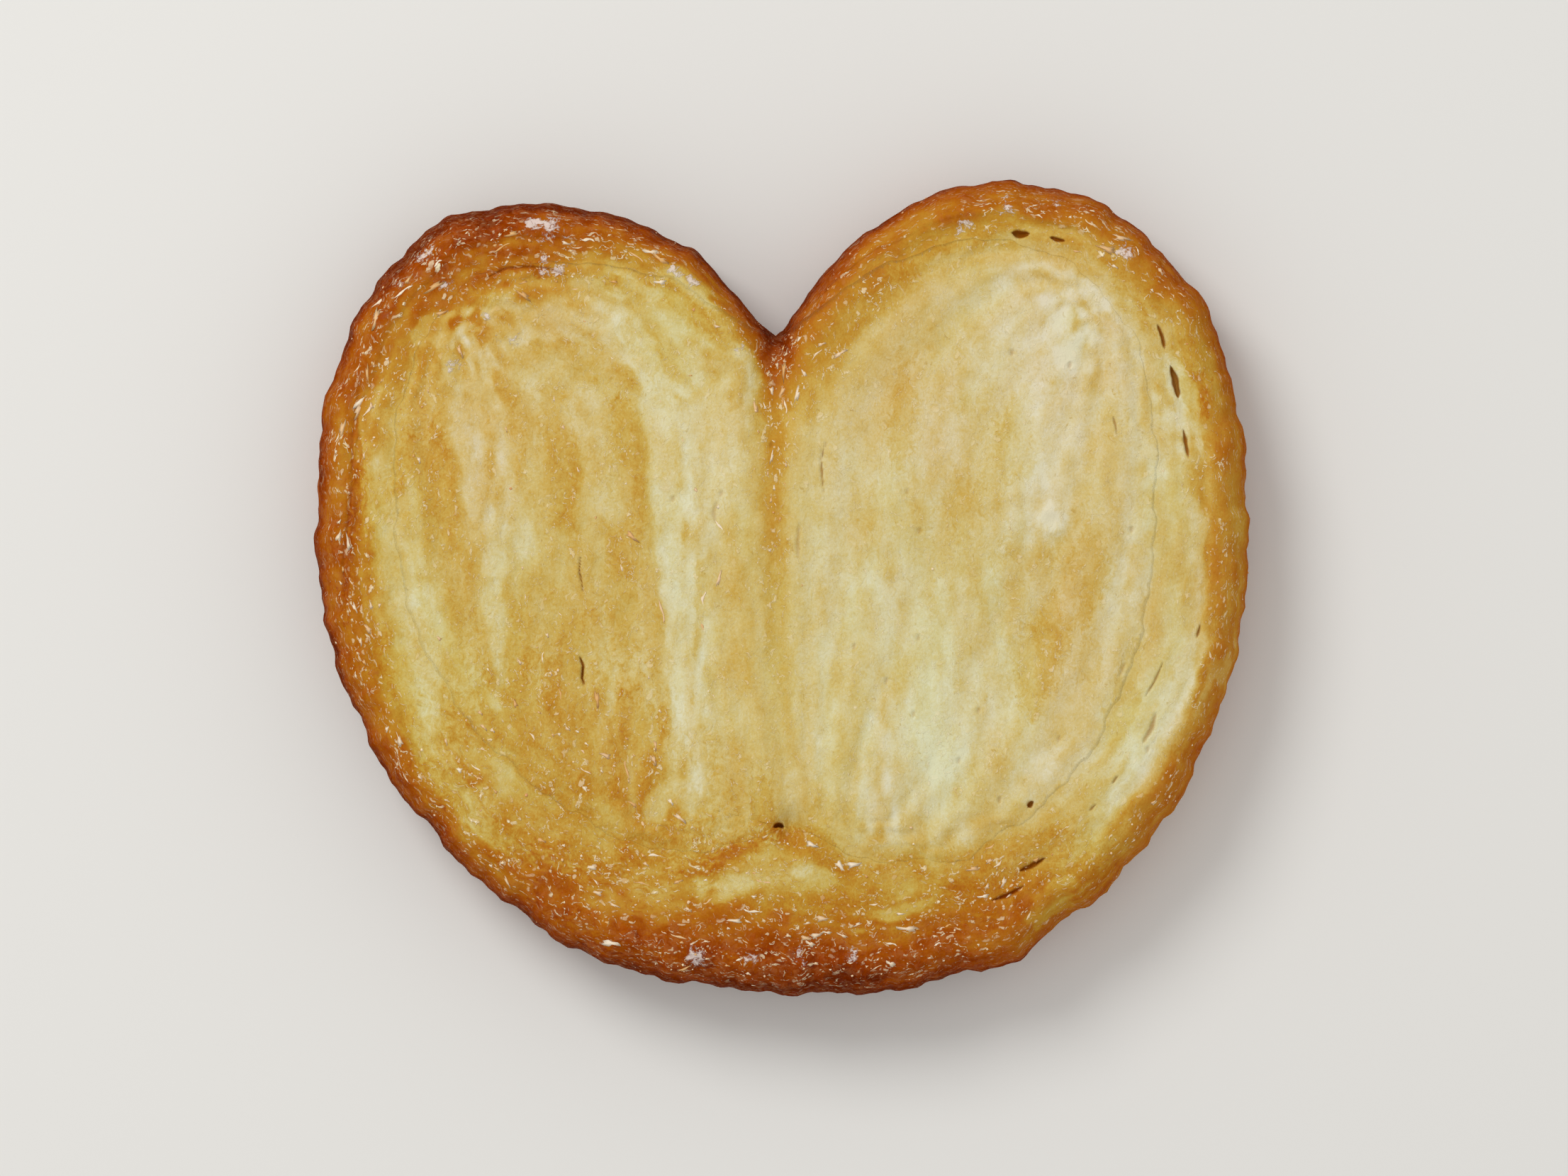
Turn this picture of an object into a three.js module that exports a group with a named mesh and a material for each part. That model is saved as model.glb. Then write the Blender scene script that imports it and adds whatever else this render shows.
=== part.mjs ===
// A palmier: a sheet of sugared puff pastry rolled in from both ends until the two rolls meet, cut across into a
// slice and baked lying on its cut face. From above it is a heart. A left and a right roll of flaky layers press
// against each other along a seam, and the back of the sheet wraps round them both. It is all one piece.
// Millimetres, +Z up. The origin is on the surface it lies on, under the middle of the heart. +Y is towards the notch.

import * as THREE from "three";

// Heights of the slice.
const FACE_HEIGHT = 10.2; // the cut face
const SWELL = 0.8; // how much higher the middle of the face rises
const SWELL_REACH = 26; // how far from the middle the swelling goes
const BELLY_HEIGHT = 4.8; // where the side stands out furthest

// The crust turns down from the face over this distance, and its foot stands this far in.
const CRUST_INSET = 3.1;
const FOOT_INSET = 1.6;
const FOOT_FULLNESS = 0.8; // 1 makes the foot a quarter round, less makes it fuller

// The outline is a round of this radius with bulges and hollows. Each one is centred on a direction, in degrees
// anticlockwise from +X, stands out by some millimetres and dies away over its spread, in degrees.
const ROUND = 37;
const NOTCH = { at: 91.6, by: -19, spread: 23, power: 1.28 };
const SHAPE = [
  NOTCH,
  { at: 137, by: 5.7, spread: 32 }, // left shoulder
  { at: 50, by: 6, spread: 36 }, // right shoulder
  { at: 258, by: -3.7, spread: 50 }, // flattened back
];
const LUMPS = [
  { at: NOTCH.at, by: 0.8, spread: 2.2 }, // the notch is blunt
  { at: 32, by: 0.3, spread: 6 },
  { at: 94, by: -0.3, spread: 9 },
  { at: 104, by: 0.66, spread: 3 },
  { at: 114, by: -0.36, spread: 3 },
  { at: 134, by: 0.8, spread: 3.5 },
  { at: 184, by: 0.4, spread: 6 },
  { at: 216, by: -0.3, spread: 13 },
  { at: 244, by: 0.45, spread: 9 },
  { at: 270, by: -0.3, spread: 13 },
  { at: 302, by: 0.8, spread: 3.5 },
  { at: 354, by: 0.3, spread: 4 },
];
const CRINKLES = [
  { waves: 23, by: 0.13, turn: 0.4 },
  { waves: 41, by: 0.11, turn: 2.1 },
  { waves: 67, by: 0.07, turn: 5.2 },
];

// The back of the sheet: its thickness from the outline in to the rolls. It is thickest at the junction, the point
// where both rolls and the back meet, and thins out to nothing where it dives into the notch.
const JUNCTION = 270;
const BACK_THICKNESS = 5.6;
const BACK_SHAPE = [
  { at: 265, by: 4.6, spread: 75 },
  { at: 5, by: 1.5, spread: 35 },
  { at: JUNCTION, by: 3.7, spread: 13, power: 1.3 },
];
const DIVE = 17; // degrees either side of the notch

// Splits in the crust and between the layers: which way from the middle, how far in from the outline, how deep.
const SPLITS = [
  { at: 128, spread: 9, inset: 6.2, deep: 0.8 }, // over the left roll
  { at: 168, spread: 17, inset: 2.9, deep: 1.2 }, // down the left side
  { at: 27, spread: 9, inset: 4.7, deep: 0.7 },
  { at: 55, spread: 6, inset: 5.6, deep: 0.6 },
  { at: 311, spread: 7, inset: 5.4, deep: 0.8 },
];
const SPLIT_WIDTH = 0.95;

// The seam between the rolls, from the notch down to the junction.
const SEAM_DEPTH = 0.8;
const SEAM_WIDTH = 1.7;
const GAPE = 1.7; // how much deeper the seam is under the notch
const GAPE_REACH = 7;
const PIT_DEPTH = 1.8; // the small hole at the junction
const PIT_WIDTH = 1.6;
const CREASE_DEPTH = 0.35; // between the back and the rolls
const CREASE_WIDTH = 1.4;
const UNDER_GROOVE = 0.25; // the seam under the slice, as a share of its depth on top

// Each roll is wound round a core, a line that leans from its shoulder in to the junction. The folds are hollows
// that follow the roll's layers: where, from 0 at the core to 1 at the roll's edge, how wide and how deep.
const LEFT = {
  stops: [NOTCH.at, 134, 257, JUNCTION], // directions of the notch, the shoulder, the foot and the junction
  core: [new THREE.Vector2(-24.6, 21), new THREE.Vector2(-6, -18)],
  folds: [
    { at: 0.66, wide: 0.09, deep: 0.45 },
    { at: 0.36, wide: 0.1, deep: 0.4 },
    { at: 0.12, wide: 0.07, deep: 0.3 },
  ],
};
const RIGHT = {
  stops: [NOTCH.at, 48, -75, JUNCTION - 360],
  core: [new THREE.Vector2(23.8, 22), new THREE.Vector2(6.6, -18)],
  folds: [
    { at: 0.8, wide: 0.08, deep: 0.35 },
    { at: 0.5, wide: 0.11, deep: 0.5 },
    { at: 0.2, wide: 0.08, deep: 0.35 },
  ],
};
const CORE_ENDS = 0.1; // share of the layers that turn round each end of the core
const FOLD_DRIFT = 0.07; // how far the folds wander in and out as they go round
const BACK_FOLD = { inset: 0.62, wide: 0.16, deep: 0.35 }; // a hollow along the back, as shares of its thickness

// The layers are laid out on this many steps: along each stretch of a side, and from one line to the next.
const NOTCH_TO_SHOULDER = 26;
const SHOULDER_TO_FOOT = 62;
const FOOT_TO_JUNCTION = 6;
const SEAM_STEPS = SHOULDER_TO_FOOT - NOTCH_TO_SHOULDER - FOOT_TO_JUNCTION;
const ROLL_STEPS = 11;
const BACK_STEPS = 5;
const SHOULDER_STEPS = 4;
const FOOT_STEPS = 3;
const UNDER_STEPS = 2;

// How much a bulge adds in a direction.
function bulge({ at, by, spread, power = 2 }, degrees) {
  const away = Math.abs(((degrees - at + 540) % 360) - 180);
  return by * Math.exp(-((away / spread) ** power));
}

const bulges = (list, degrees) => list.reduce((sum, one) => sum + bulge(one, degrees), 0);
const hump = (away, width) => Math.exp(-((away / width) ** 2));

// How far the outline is from the middle, with and without its small lumps and crinkles.
const smoothReach = (degrees) => ROUND + bulges(SHAPE, degrees);

function reach(degrees) {
  const round = THREE.MathUtils.degToRad(degrees);
  const crinkle = CRINKLES.reduce((sum, c) => sum + c.by * Math.sin(c.waves * round + c.turn), 0);
  return smoothReach(degrees) + bulges(LUMPS, degrees) + crinkle;
}

// The place reached by going in from the outline, at right angles to it.
function inside(degrees, inset) {
  const STEP = 1.5;
  const round = THREE.MathUtils.degToRad(degrees);
  const rise = (smoothReach(degrees + STEP) - smoothReach(degrees - STEP)) / THREE.MathUtils.degToRad(2 * STEP);
  const facing = round - Math.atan2(rise, smoothReach(degrees));
  const away = reach(degrees);
  return new THREE.Vector2(
    away * Math.cos(round) - inset * Math.cos(facing),
    away * Math.sin(round) - inset * Math.sin(facing),
  );
}

function backThickness(degrees) {
  const dive = 1 - bulge({ at: NOTCH.at, by: 1, spread: DIVE, power: 1.2 }, degrees);
  return dive * (BACK_THICKNESS + bulges(BACK_SHAPE, degrees));
}

const NOTCH_POINT = inside(NOTCH.at, 0);
const JUNCTION_POINT = inside(JUNCTION, backThickness(JUNCTION));
const RIM = Array.from({ length: 720 }, (_, i) => inside(NOTCH.at + i / 2, 0));

const insetOf = (point) => Math.min(...RIM.map((rim) => rim.distanceTo(point)));
const degreesOf = (point) => THREE.MathUtils.radToDeg(point.angle());

// The depth of the seam at a place: a valley, gaping under the notch, with the pit at its lower end.
function seamDepth(point) {
  const along = NOTCH_POINT.clone().sub(JUNCTION_POINT);
  const from = point.clone().sub(JUNCTION_POINT);
  const share = from.dot(along) / along.lengthSq();
  const nearest = JUNCTION_POINT.clone().addScaledVector(along, THREE.MathUtils.clamp(share, 0, 1));
  const gape = GAPE * hump(nearest.distanceTo(NOTCH_POINT), GAPE_REACH);
  const valley = (SEAM_DEPTH + gape) * hump(nearest.distanceTo(point), SEAM_WIDTH);
  return valley + PIT_DEPTH * hump(JUNCTION_POINT.distanceTo(point), PIT_WIDTH);
}

function splitDepth(point, inset) {
  const across = (split) => hump(inset - split.inset, SPLIT_WIDTH);
  const along = (split) => bulge({ at: split.at, by: split.deep, spread: split.spread, power: 4 }, degreesOf(point));
  return SPLITS.reduce((sum, split) => sum + along(split) * across(split), 0);
}

// The height of the upper side: it turns from the belly up to the cut face, less the seam and the splits.
function topHeight(point, inset) {
  const swell = SWELL * hump(point.length(), SWELL_REACH);
  const uneven = 0.14 * Math.sin(0.23 * point.x + 1.3) + 0.12 * Math.sin(0.29 * point.y - 0.4);
  const turned = Math.sqrt(1 - (1 - Math.min(1, inset / CRUST_INSET)) ** 2);
  const face = FACE_HEIGHT + swell + uneven - seamDepth(point);
  return BELLY_HEIGHT + (face - BELLY_HEIGHT) * turned - splitDepth(point, inset);
}

const underHeight = (point) => UNDER_GROOVE * seamDepth(point);

// A closed body, put together from sheets of four-sided faces. Corners in the same place are one corner.
class Body {
  corners = [];
  triangles = [];
  known = new Map();

  corner(point, height) {
    const place = [point.x, point.y, height];
    const key = place.map((value) => Math.round(value * 1e4)).join();
    if (!this.known.has(key)) {
      this.known.set(key, this.corners.length / 3);
      this.corners.push(...place);
    }
    return this.known.get(key);
  }

  triangle(a, b, c) {
    if (a !== b && b !== c && c !== a) this.triangles.push(a, b, c);
  }

  // Rows of corners, all equally long. Turned over, the faces look the other way.
  sheet(rows, turnedOver) {
    for (let r = 0; r + 1 < rows.length; r++) {
      for (let i = 0; i + 1 < rows[r].length; i++) {
        const [a, b, c, d] = [rows[r][i], rows[r][i + 1], rows[r + 1][i + 1], rows[r + 1][i]];
        if (turnedOver) {
          this.triangle(a, c, b);
          this.triangle(a, d, c);
        } else {
          this.triangle(a, b, c);
          this.triangle(a, c, d);
        }
      }
    }
  }

  geometry() {
    const made = new THREE.BufferGeometry();
    made.setAttribute("position", new THREE.Float32BufferAttribute(this.corners, 3));
    made.setIndex(this.triangles);
    made.computeVertexNormals();
    return made;
  }
}

// A stretch of the outline as a curve, so that three.js can step along it evenly.
class Stretch extends THREE.Curve {
  constructor(from, to) {
    super();
    this.from = from;
    this.to = to;
  }

  degrees(share) {
    return THREE.MathUtils.lerp(this.from, this.to, share);
  }

  getPoint(share, target = new THREE.Vector3()) {
    const point = inside(this.degrees(share), 0);
    return target.set(point.x, point.y, 0);
  }
}

// Directions down one side, from the notch to the junction.
function directions(stops) {
  const counts = [NOTCH_TO_SHOULDER, SHOULDER_TO_FOOT, FOOT_TO_JUNCTION];
  const list = [stops[0]];
  counts.forEach((count, i) => {
    const stretch = new Stretch(stops[i], stops[i + 1]);
    for (let k = 1; k <= count; k++) list.push(stretch.degrees(stretch.getUtoTmapping(k / count)));
  });
  return list;
}

// How much the crease beside the back shows at each step down a side. It closes up at both ends.
function creaseAt(i, last) {
  const CLOSING = 6;
  return CREASE_DEPTH * Math.min(1, i / CLOSING, (last - i) / CLOSING);
}

// The rows of one side, from the rim of the roll underneath, round the crust, to its rim on the face.
function sideRows(body, angles) {
  const last = angles.length - 1;
  const typical = BACK_THICKNESS;
  const narrowed = (degrees) => Math.min(1, backThickness(degrees) / typical);
  const rows = [];
  rows.push(
    angles.map((degrees) => {
      const point = inside(degrees, backThickness(degrees));
      return body.corner(point, underHeight(point));
    }),
  );
  for (let k = 0; k <= FOOT_STEPS; k++) {
    const turn = (Math.PI / 2) * (1 - k / FOOT_STEPS);
    const inset = FOOT_INSET * (1 - Math.cos(turn));
    const height = BELLY_HEIGHT * (1 - Math.sin(turn) ** FOOT_FULLNESS);
    rows.push(angles.map((degrees) => body.corner(inside(degrees, inset * narrowed(degrees)), height)));
  }
  for (let k = 1; k <= SHOULDER_STEPS; k++) {
    const turn = ((Math.PI / 2) * k) / SHOULDER_STEPS;
    rows.push(
      angles.map((degrees) => {
        const inset = CRUST_INSET * (1 - Math.cos(turn)) * narrowed(degrees);
        const point = inside(degrees, inset);
        return body.corner(point, topHeight(point, inset));
      }),
    );
  }
  for (let k = 1; k <= BACK_STEPS; k++) {
    rows.push(
      angles.map((degrees, i) => {
        const thickness = backThickness(degrees);
        const inset = THREE.MathUtils.lerp(CRUST_INSET * narrowed(degrees), thickness, k / BACK_STEPS);
        const point = inside(degrees, inset);
        const crease = creaseAt(i, last) * hump(thickness - inset, CREASE_WIDTH);
        const fold = narrowed(degrees) * BACK_FOLD.deep * hump(inset / typical - BACK_FOLD.inset, BACK_FOLD.wide);
        return body.corner(point, topHeight(point, inset) - crease - (k < BACK_STEPS ? fold : 0));
      }),
    );
  }
  return rows;
}

// The edge of a roll as a closed loop: down its outer side from the notch to the junction, and back up the seam.
function rollEdge(angles) {
  const last = angles.length - 1;
  const edge = angles.map((degrees, i) => {
    const inset = backThickness(degrees);
    return { point: inside(degrees, inset), inset, crease: creaseAt(i, last) };
  });
  for (let k = 1; k < SEAM_STEPS; k++) {
    const point = JUNCTION_POINT.clone().lerp(NOTCH_POINT, k / SEAM_STEPS);
    edge.push({ point, inset: insetOf(point), crease: 0 });
  }
  edge.push(edge[0]);
  return edge;
}

// The rows of a roll, from its edge to its core. The height is worked out from the place, the share of the way out
// from the core, the step round the loop, and the distance from the edge.
function rollRows(body, edge, core, steps, height) {
  const loop = edge.length - 1;
  const alongCore = edge.map((_, i) => {
    const round = (i - NOTCH_TO_SHOULDER + loop) % loop;
    const down = Math.min(round, loop - round) / (loop / 2);
    return THREE.MathUtils.smoothstep(down, CORE_ENDS, 1 - CORE_ENDS);
  });
  const rows = [];
  for (let k = 0; k <= steps; k++) {
    const share = 1 - k / steps;
    rows.push(
      edge.map(({ point }, i) => {
        const place = core[0].clone().lerp(core[1], alongCore[i]).lerp(point, share);
        return body.corner(place, height(place, share, i));
      }),
    );
  }
  return rows;
}

// The depth of a roll's folds, which wander a little on their way round.
function foldDepth(folds, share, turn) {
  const at = (fold, i) => fold.at + FOLD_DRIFT * Math.sin(turn + 2.2 * i);
  return folds.reduce((sum, fold, i) => sum + fold.deep * hump(share - at(fold, i), fold.wide), 0);
}

// One half of the slice: its crust, the back of the sheet, and its roll on the face and underneath.
function addHalf(body, { stops, core, folds }, turnedOver) {
  const angles = directions(stops);
  body.sheet(sideRows(body, angles), turnedOver);
  const edge = rollEdge(angles);
  const face = rollRows(body, edge, core, ROLL_STEPS, (place, share, i) => {
    if (share === 1) return topHeight(place, edge[i].inset) - edge[i].crease;
    const toEdge = place.distanceTo(edge[i].point);
    const crease = edge[i].crease * hump(toEdge, CREASE_WIDTH);
    const fold = foldDepth(folds, share, (2 * Math.PI * i) / (edge.length - 1));
    const offCore = Math.min(1, 4 * share);
    const offEdge = Math.min(1, toEdge / 2);
    return topHeight(place, insetOf(place)) - offCore * (crease + offEdge * fold);
  });
  const under = rollRows(body, edge, core, UNDER_STEPS, underHeight);
  body.sheet(face, turnedOver);
  body.sheet(under.reverse(), turnedOver);
}

function slice() {
  const body = new Body();
  addHalf(body, LEFT, false);
  addHalf(body, RIGHT, true);
  const geometry = body.geometry();
  geometry.computeBoundingBox();
  const middle = geometry.boundingBox.getCenter(new THREE.Vector3());
  return geometry.translate(-middle.x, -middle.y, 0);
}

const crust = new THREE.MeshStandardMaterial({ color: 0xcdb072, roughness: 0.72, metalness: 0 });
const palmier = new THREE.Mesh(slice(), crust);
palmier.name = "palmier";

const group = new THREE.Group();
group.add(palmier);

export default group;
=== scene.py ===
# %% [markdown]
# # A palmier, from one sheet of pastry
# A palmier is a sheet of puff pastry strewn with sugar and rolled in from both ends until the two rolls
# meet. A slice of it, laid on its cut face and baked, becomes a heart of flaky layers. This lesson builds
# that heart: first the places of its layers, worked out by formula with numpy, then fine relief and sugar
# with Geometry Nodes, then one material that follows the layers. Lengths are in millimetres until a mesh is
# made, because the cook thinks in them.

import math

import bmesh
import bpy
import numpy as np
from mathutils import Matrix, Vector, noise


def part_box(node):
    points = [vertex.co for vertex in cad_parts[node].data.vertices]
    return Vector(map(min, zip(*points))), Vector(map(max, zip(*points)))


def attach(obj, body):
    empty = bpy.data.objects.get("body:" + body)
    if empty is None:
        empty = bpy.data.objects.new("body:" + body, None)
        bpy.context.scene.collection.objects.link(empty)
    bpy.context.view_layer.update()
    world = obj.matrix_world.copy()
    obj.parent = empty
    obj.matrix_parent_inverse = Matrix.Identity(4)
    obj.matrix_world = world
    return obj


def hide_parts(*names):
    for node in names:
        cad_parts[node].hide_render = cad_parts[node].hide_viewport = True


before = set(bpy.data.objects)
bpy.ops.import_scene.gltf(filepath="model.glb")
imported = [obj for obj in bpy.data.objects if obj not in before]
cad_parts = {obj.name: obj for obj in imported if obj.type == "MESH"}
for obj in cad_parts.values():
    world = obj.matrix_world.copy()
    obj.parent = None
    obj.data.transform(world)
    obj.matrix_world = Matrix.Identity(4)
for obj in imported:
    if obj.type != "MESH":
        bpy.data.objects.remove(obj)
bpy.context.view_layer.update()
MM = 0.001

# %% [markdown]
# ## The outline
# From above, the slice is a round with two shoulders, a flattened back and a notch. Tracing it point by
# point would hide what it is, so each of those is one named bulge instead: it is centred on a direction,
# stands out by some millimetres and dies away over its spread. Small lumps and crinkles are added in the
# same way, because the edge of a sheet that has puffed up in the oven is never smooth.

# %% The outline by direction
ROUND = 37.0
NOTCH_AT = 91.6
SHAPE = [
    dict(at=NOTCH_AT, by=-19.0, spread=23.0, power=1.28),
    dict(at=137, by=5.7, spread=32),
    dict(at=50, by=6.0, spread=36),
    dict(at=258, by=-3.7, spread=50),
]
LUMPS = [
    dict(at=NOTCH_AT, by=0.8, spread=2.2),
    dict(at=32, by=0.3, spread=6),
    dict(at=94, by=-0.3, spread=9),
    dict(at=104, by=0.66, spread=3),
    dict(at=114, by=-0.36, spread=3),
    dict(at=134, by=0.8, spread=3.5),
    dict(at=184, by=0.4, spread=6),
    dict(at=216, by=-0.3, spread=13),
    dict(at=244, by=0.45, spread=9),
    dict(at=270, by=-0.3, spread=13),
    dict(at=302, by=0.8, spread=3.5),
    dict(at=354, by=0.3, spread=4),
]
CRINKLES = [(23, 0.13, 0.4), (41, 0.11, 2.1), (67, 0.07, 5.2), (131, 0.05, 1.1)]  # waves, height, turn


def bulge(degrees, at, by, spread, power=2.0):
    away = np.abs((degrees - at + 540.0) % 360.0 - 180.0)
    return by * np.exp(-((away / spread) ** power))


def bulges(degrees, listed):
    return sum(bulge(degrees, **one) for one in listed)


def hump(away, width):
    return np.exp(-((away / width) ** 2))


def soft_edge(off, half, softness=0.2):
    """1 inside a half width and 0 outside it, with a soft border."""
    return 1 / (1 + np.exp(np.clip((off - half) / softness, -30, 30)))


def smooth_reach(degrees):
    return ROUND + bulges(degrees, SHAPE)


def reach(degrees):
    crinkle = sum(by * np.sin(waves * np.radians(degrees) + turn) for waves, by, turn in CRINKLES)
    return smooth_reach(degrees) + bulges(degrees, LUMPS) + crinkle


def inside(degrees, inset):
    """The place reached by going in from the outline, at right angles to it."""
    step = 1.5
    turn = np.radians(degrees)
    rise = (smooth_reach(degrees + step) - smooth_reach(degrees - step)) / math.radians(2 * step)
    facing = turn - np.arctan2(rise, smooth_reach(degrees))
    away = reach(degrees)
    x = away * np.cos(turn) - inset * np.cos(facing)
    y = away * np.sin(turn) - inset * np.sin(facing)
    return np.stack([x, y], axis=-1)


RIM = inside(NOTCH_AT + np.arange(1440) / 4, 0.0)
print("outline", np.round(np.ptp(RIM, axis=0), 1), "mm")

# %% [markdown]
# ## The back of the sheet, and the seam
# The back of the sheet wraps round both rolls. It is thickest at the junction, the point where the rolls
# and the back meet, and it thins out where it dives into the notch. Between the rolls runs the seam, a
# valley from the notch down to the junction. Both are formulas of the place, so any mesh laid over them
# gets the same form.

# %% The back and the seam
JUNCTION = 270.0
BACK_THICKNESS = 5.6
BACK_SHAPE = [
    dict(at=265, by=4.6, spread=75),
    dict(at=5, by=1.5, spread=35),
    dict(at=JUNCTION, by=3.7, spread=13, power=1.3),
]
DIVE = 17.0
SEAM_DEPTH, SEAM_WIDTH = 0.35, 1.7
SEAM_BOW = -0.75  # how far the seam bends to the left in its middle
GAPE, GAPE_REACH = 1.2, 6.5
PIT_DEPTH, PIT_WIDTH = 0.9, 1.4
CREASE_DEPTH, CREASE_WIDTH = 0.22, 1.4
UNDER_GROOVE = 0.25


def back_thickness(degrees):
    dive = 1.0 - bulge(degrees, NOTCH_AT, 1.0, DIVE, 1.2)
    return dive * (BACK_THICKNESS + bulges(degrees, BACK_SHAPE))


notch_point = inside(NOTCH_AT, 0.0)
junction_point = inside(JUNCTION, back_thickness(JUNCTION))


def seam_at(share):
    """The place on the seam at each share of the way from the junction to the notch."""
    share = np.asarray(share)[..., None]
    bow = np.concatenate([SEAM_BOW * np.sin(np.pi * share), 0 * share], axis=-1)
    return junction_point + share * (notch_point - junction_point) + bow


def along_seam(place):
    """Where a place is along the seam, from 0 at the junction to 1 at the notch, and how far off it."""
    along = notch_point - junction_point
    share = np.clip(((place - junction_point) @ along) / (along @ along), 0.0, 1.0)
    nearest = seam_at(share)
    return share, nearest, np.linalg.norm(place - nearest, axis=-1)


def seam_depth(place):
    _, nearest, off = along_seam(place)
    gape = GAPE * hump(np.linalg.norm(nearest - notch_point, axis=-1), GAPE_REACH)
    pit = PIT_DEPTH * hump(np.linalg.norm(place - junction_point, axis=-1), PIT_WIDTH)
    return (SEAM_DEPTH + gape) * hump(off, SEAM_WIDTH) + pit


print("junction at", np.round(junction_point, 1), "notch at", np.round(notch_point, 1))

# %% [markdown]
# ## Heights
# The cut face is nearly flat, a little swollen in the middle. At the crust it turns down like a cushion's
# edge to the belly, where the side stands out furthest. Wide splits in the crust are hollows at a known
# distance from the edge.

# %% The height of every place
FACE_HEIGHT = 10.2
SWELL, SWELL_REACH = 0.8, 26.0
BELLY_HEIGHT = 4.8
CRUST_INSET = 3.1
SHOULDER = 2.35  # 2 would be a quarter circle
FOOT_INSET, FOOT_FULLNESS = 1.6, 0.8
BLISTER_AT = (21.8, 5.4)
BLISTER_ROUND, BLISTER_RISE, BLISTER_WALL = 0.85, 0.2, 0.45  # the radius, height and width of its raised ring
WAVES_ACROSS = (0.14, 0.23, 1.3)  # height, radians to a millimetre, start
WAVES_ALONG = (0.12, 0.29, -0.4)
SPLIT_WIDTH = 0.95
SPLITS = [  # direction, spread, inset, depth
    (128, 9, 6.2, 0.25),
    (168, 17, 2.9, 0.4),
    (27, 9, 4.7, 0.3),
    (55, 6, 5.6, 0.25),
    (311, 7, 5.4, 0.35),
]


def inset_of(place):
    """How far a place is inside the outline, by its nearest point of the rim."""
    flat = place.reshape(-1, 2)
    nearest = [np.sqrt(((part[:, None] - RIM) ** 2).sum(2).min(1)) for part in np.array_split(flat, 40)]
    return np.concatenate(nearest).reshape(place.shape[:-1])


def degrees_of(place):
    return np.degrees(np.arctan2(place[..., 1], place[..., 0]))


def waves(places, height, turn, start):
    return height * np.sin(turn * places + start)


def top_height(place, inset):
    """The height of the face and the shoulder at each place."""
    off_blister = np.linalg.norm(place - BLISTER_AT, axis=-1) - BLISTER_ROUND
    blister = BLISTER_RISE * hump(off_blister, BLISTER_WALL)
    swell = SWELL * hump(np.linalg.norm(place, axis=-1), SWELL_REACH)
    uneven = waves(place[..., 0], *WAVES_ACROSS) + waves(place[..., 1], *WAVES_ALONG)
    turned = (1 - (1 - np.minimum(1, inset / CRUST_INSET)) ** SHOULDER) ** (1 / SHOULDER)
    face = FACE_HEIGHT + swell + uneven + blister - seam_depth(place)
    around = degrees_of(place)
    split = sum(
        bulge(around, at, deep, spread, 4.0) * hump(inset - into, SPLIT_WIDTH)
        for at, spread, into, deep in SPLITS
    )
    return BELLY_HEIGHT + (face - BELLY_HEIGHT) * turned - split


# %% [markdown]
# ## The layers as sheets of points
# A mesh that ignores the layers would blur them. Here its rows run along the layers: first round the crust
# and the back of the sheet, then round and round each roll, shrinking onto the roll's core, a line that
# leans from the shoulder in to the junction. Each sheet also keeps where its points are in the dough: how
# far across the layers, and how far round them. The material reads that later, so that its streaks run with
# the layers.

# %% Steps along a side
STEPS = (92, 226, 22)  # notch to shoulder, shoulder to foot, foot to junction
SEAM_STEPS = STEPS[1] - STEPS[0] - STEPS[2]
ROLL_STEPS, BACK_STEPS, SHOULDER_STEPS, FOOT_STEPS, UNDER_STEPS = 42, 18, 12, 9, 10
RIGHT_AWAY = 200.0  # sets the right roll's pattern apart from the left one's
ROLL_ROUND = 16.0  # radius on which the way round a roll is wound up, so that it closes on itself
ROLLS = {
    "left": dict(
        stops=(NOTCH_AT, 134, 257, JUNCTION),
        core=np.array([[-24.6, 21.0], [-6.0, -18.0]]),
        folds=[(0.66, 0.09, 0.45), (0.36, 0.10, 0.40), (0.12, 0.07, 0.30)],  # where, how wide, how deep
    ),
    "right": dict(
        stops=(NOTCH_AT, 48, -75, JUNCTION - 360),
        core=np.array([[23.8, 22.0], [6.6, -18.0]]),
        folds=[(0.80, 0.08, 0.35), (0.50, 0.11, 0.50), (0.20, 0.08, 0.35)],
    ),
}
CORE_ENDS = 0.1
FOLD_DRIFT, FOLD_TURN = 0.07, 2.2  # how far a fold wanders on its way round, and where each next one starts
FOLD_STRENGTH, FOLD_ROOM, FOLD_MARGIN = 0.6, 9.0, 2.0  # folds fade in narrow places and close to the edge
BACK_FOLD = (0.62, 0.18, 0.12)
BACK_LINES, ROLL_LINES = 8.0, 15.0  # how deep the layers go across the back, and across a roll
CREASE_CLOSES = 0.07  # the share of a line over which its crease closes at each end


def directions(stops):
    """Directions from the notch to the junction, evenly spaced along each stretch of the outline."""
    found = [np.array([stops[0]], float)]
    for start, end, count in zip(stops, stops[1:], STEPS):
        fine = np.linspace(start, end, 1500)
        run = np.r_[0.0, np.cumsum(np.linalg.norm(np.diff(inside(fine, 0.0), axis=0), axis=1))]
        found.append(np.interp(np.linspace(0, run[-1], count + 1)[1:], run, fine))
    return np.concatenate(found)


def crease_at(count):
    i = np.arange(count)
    closing = CREASE_CLOSES * count
    return CREASE_DEPTH * np.minimum(1, np.minimum(i / closing, (count - 1 - i) / closing))


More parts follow.
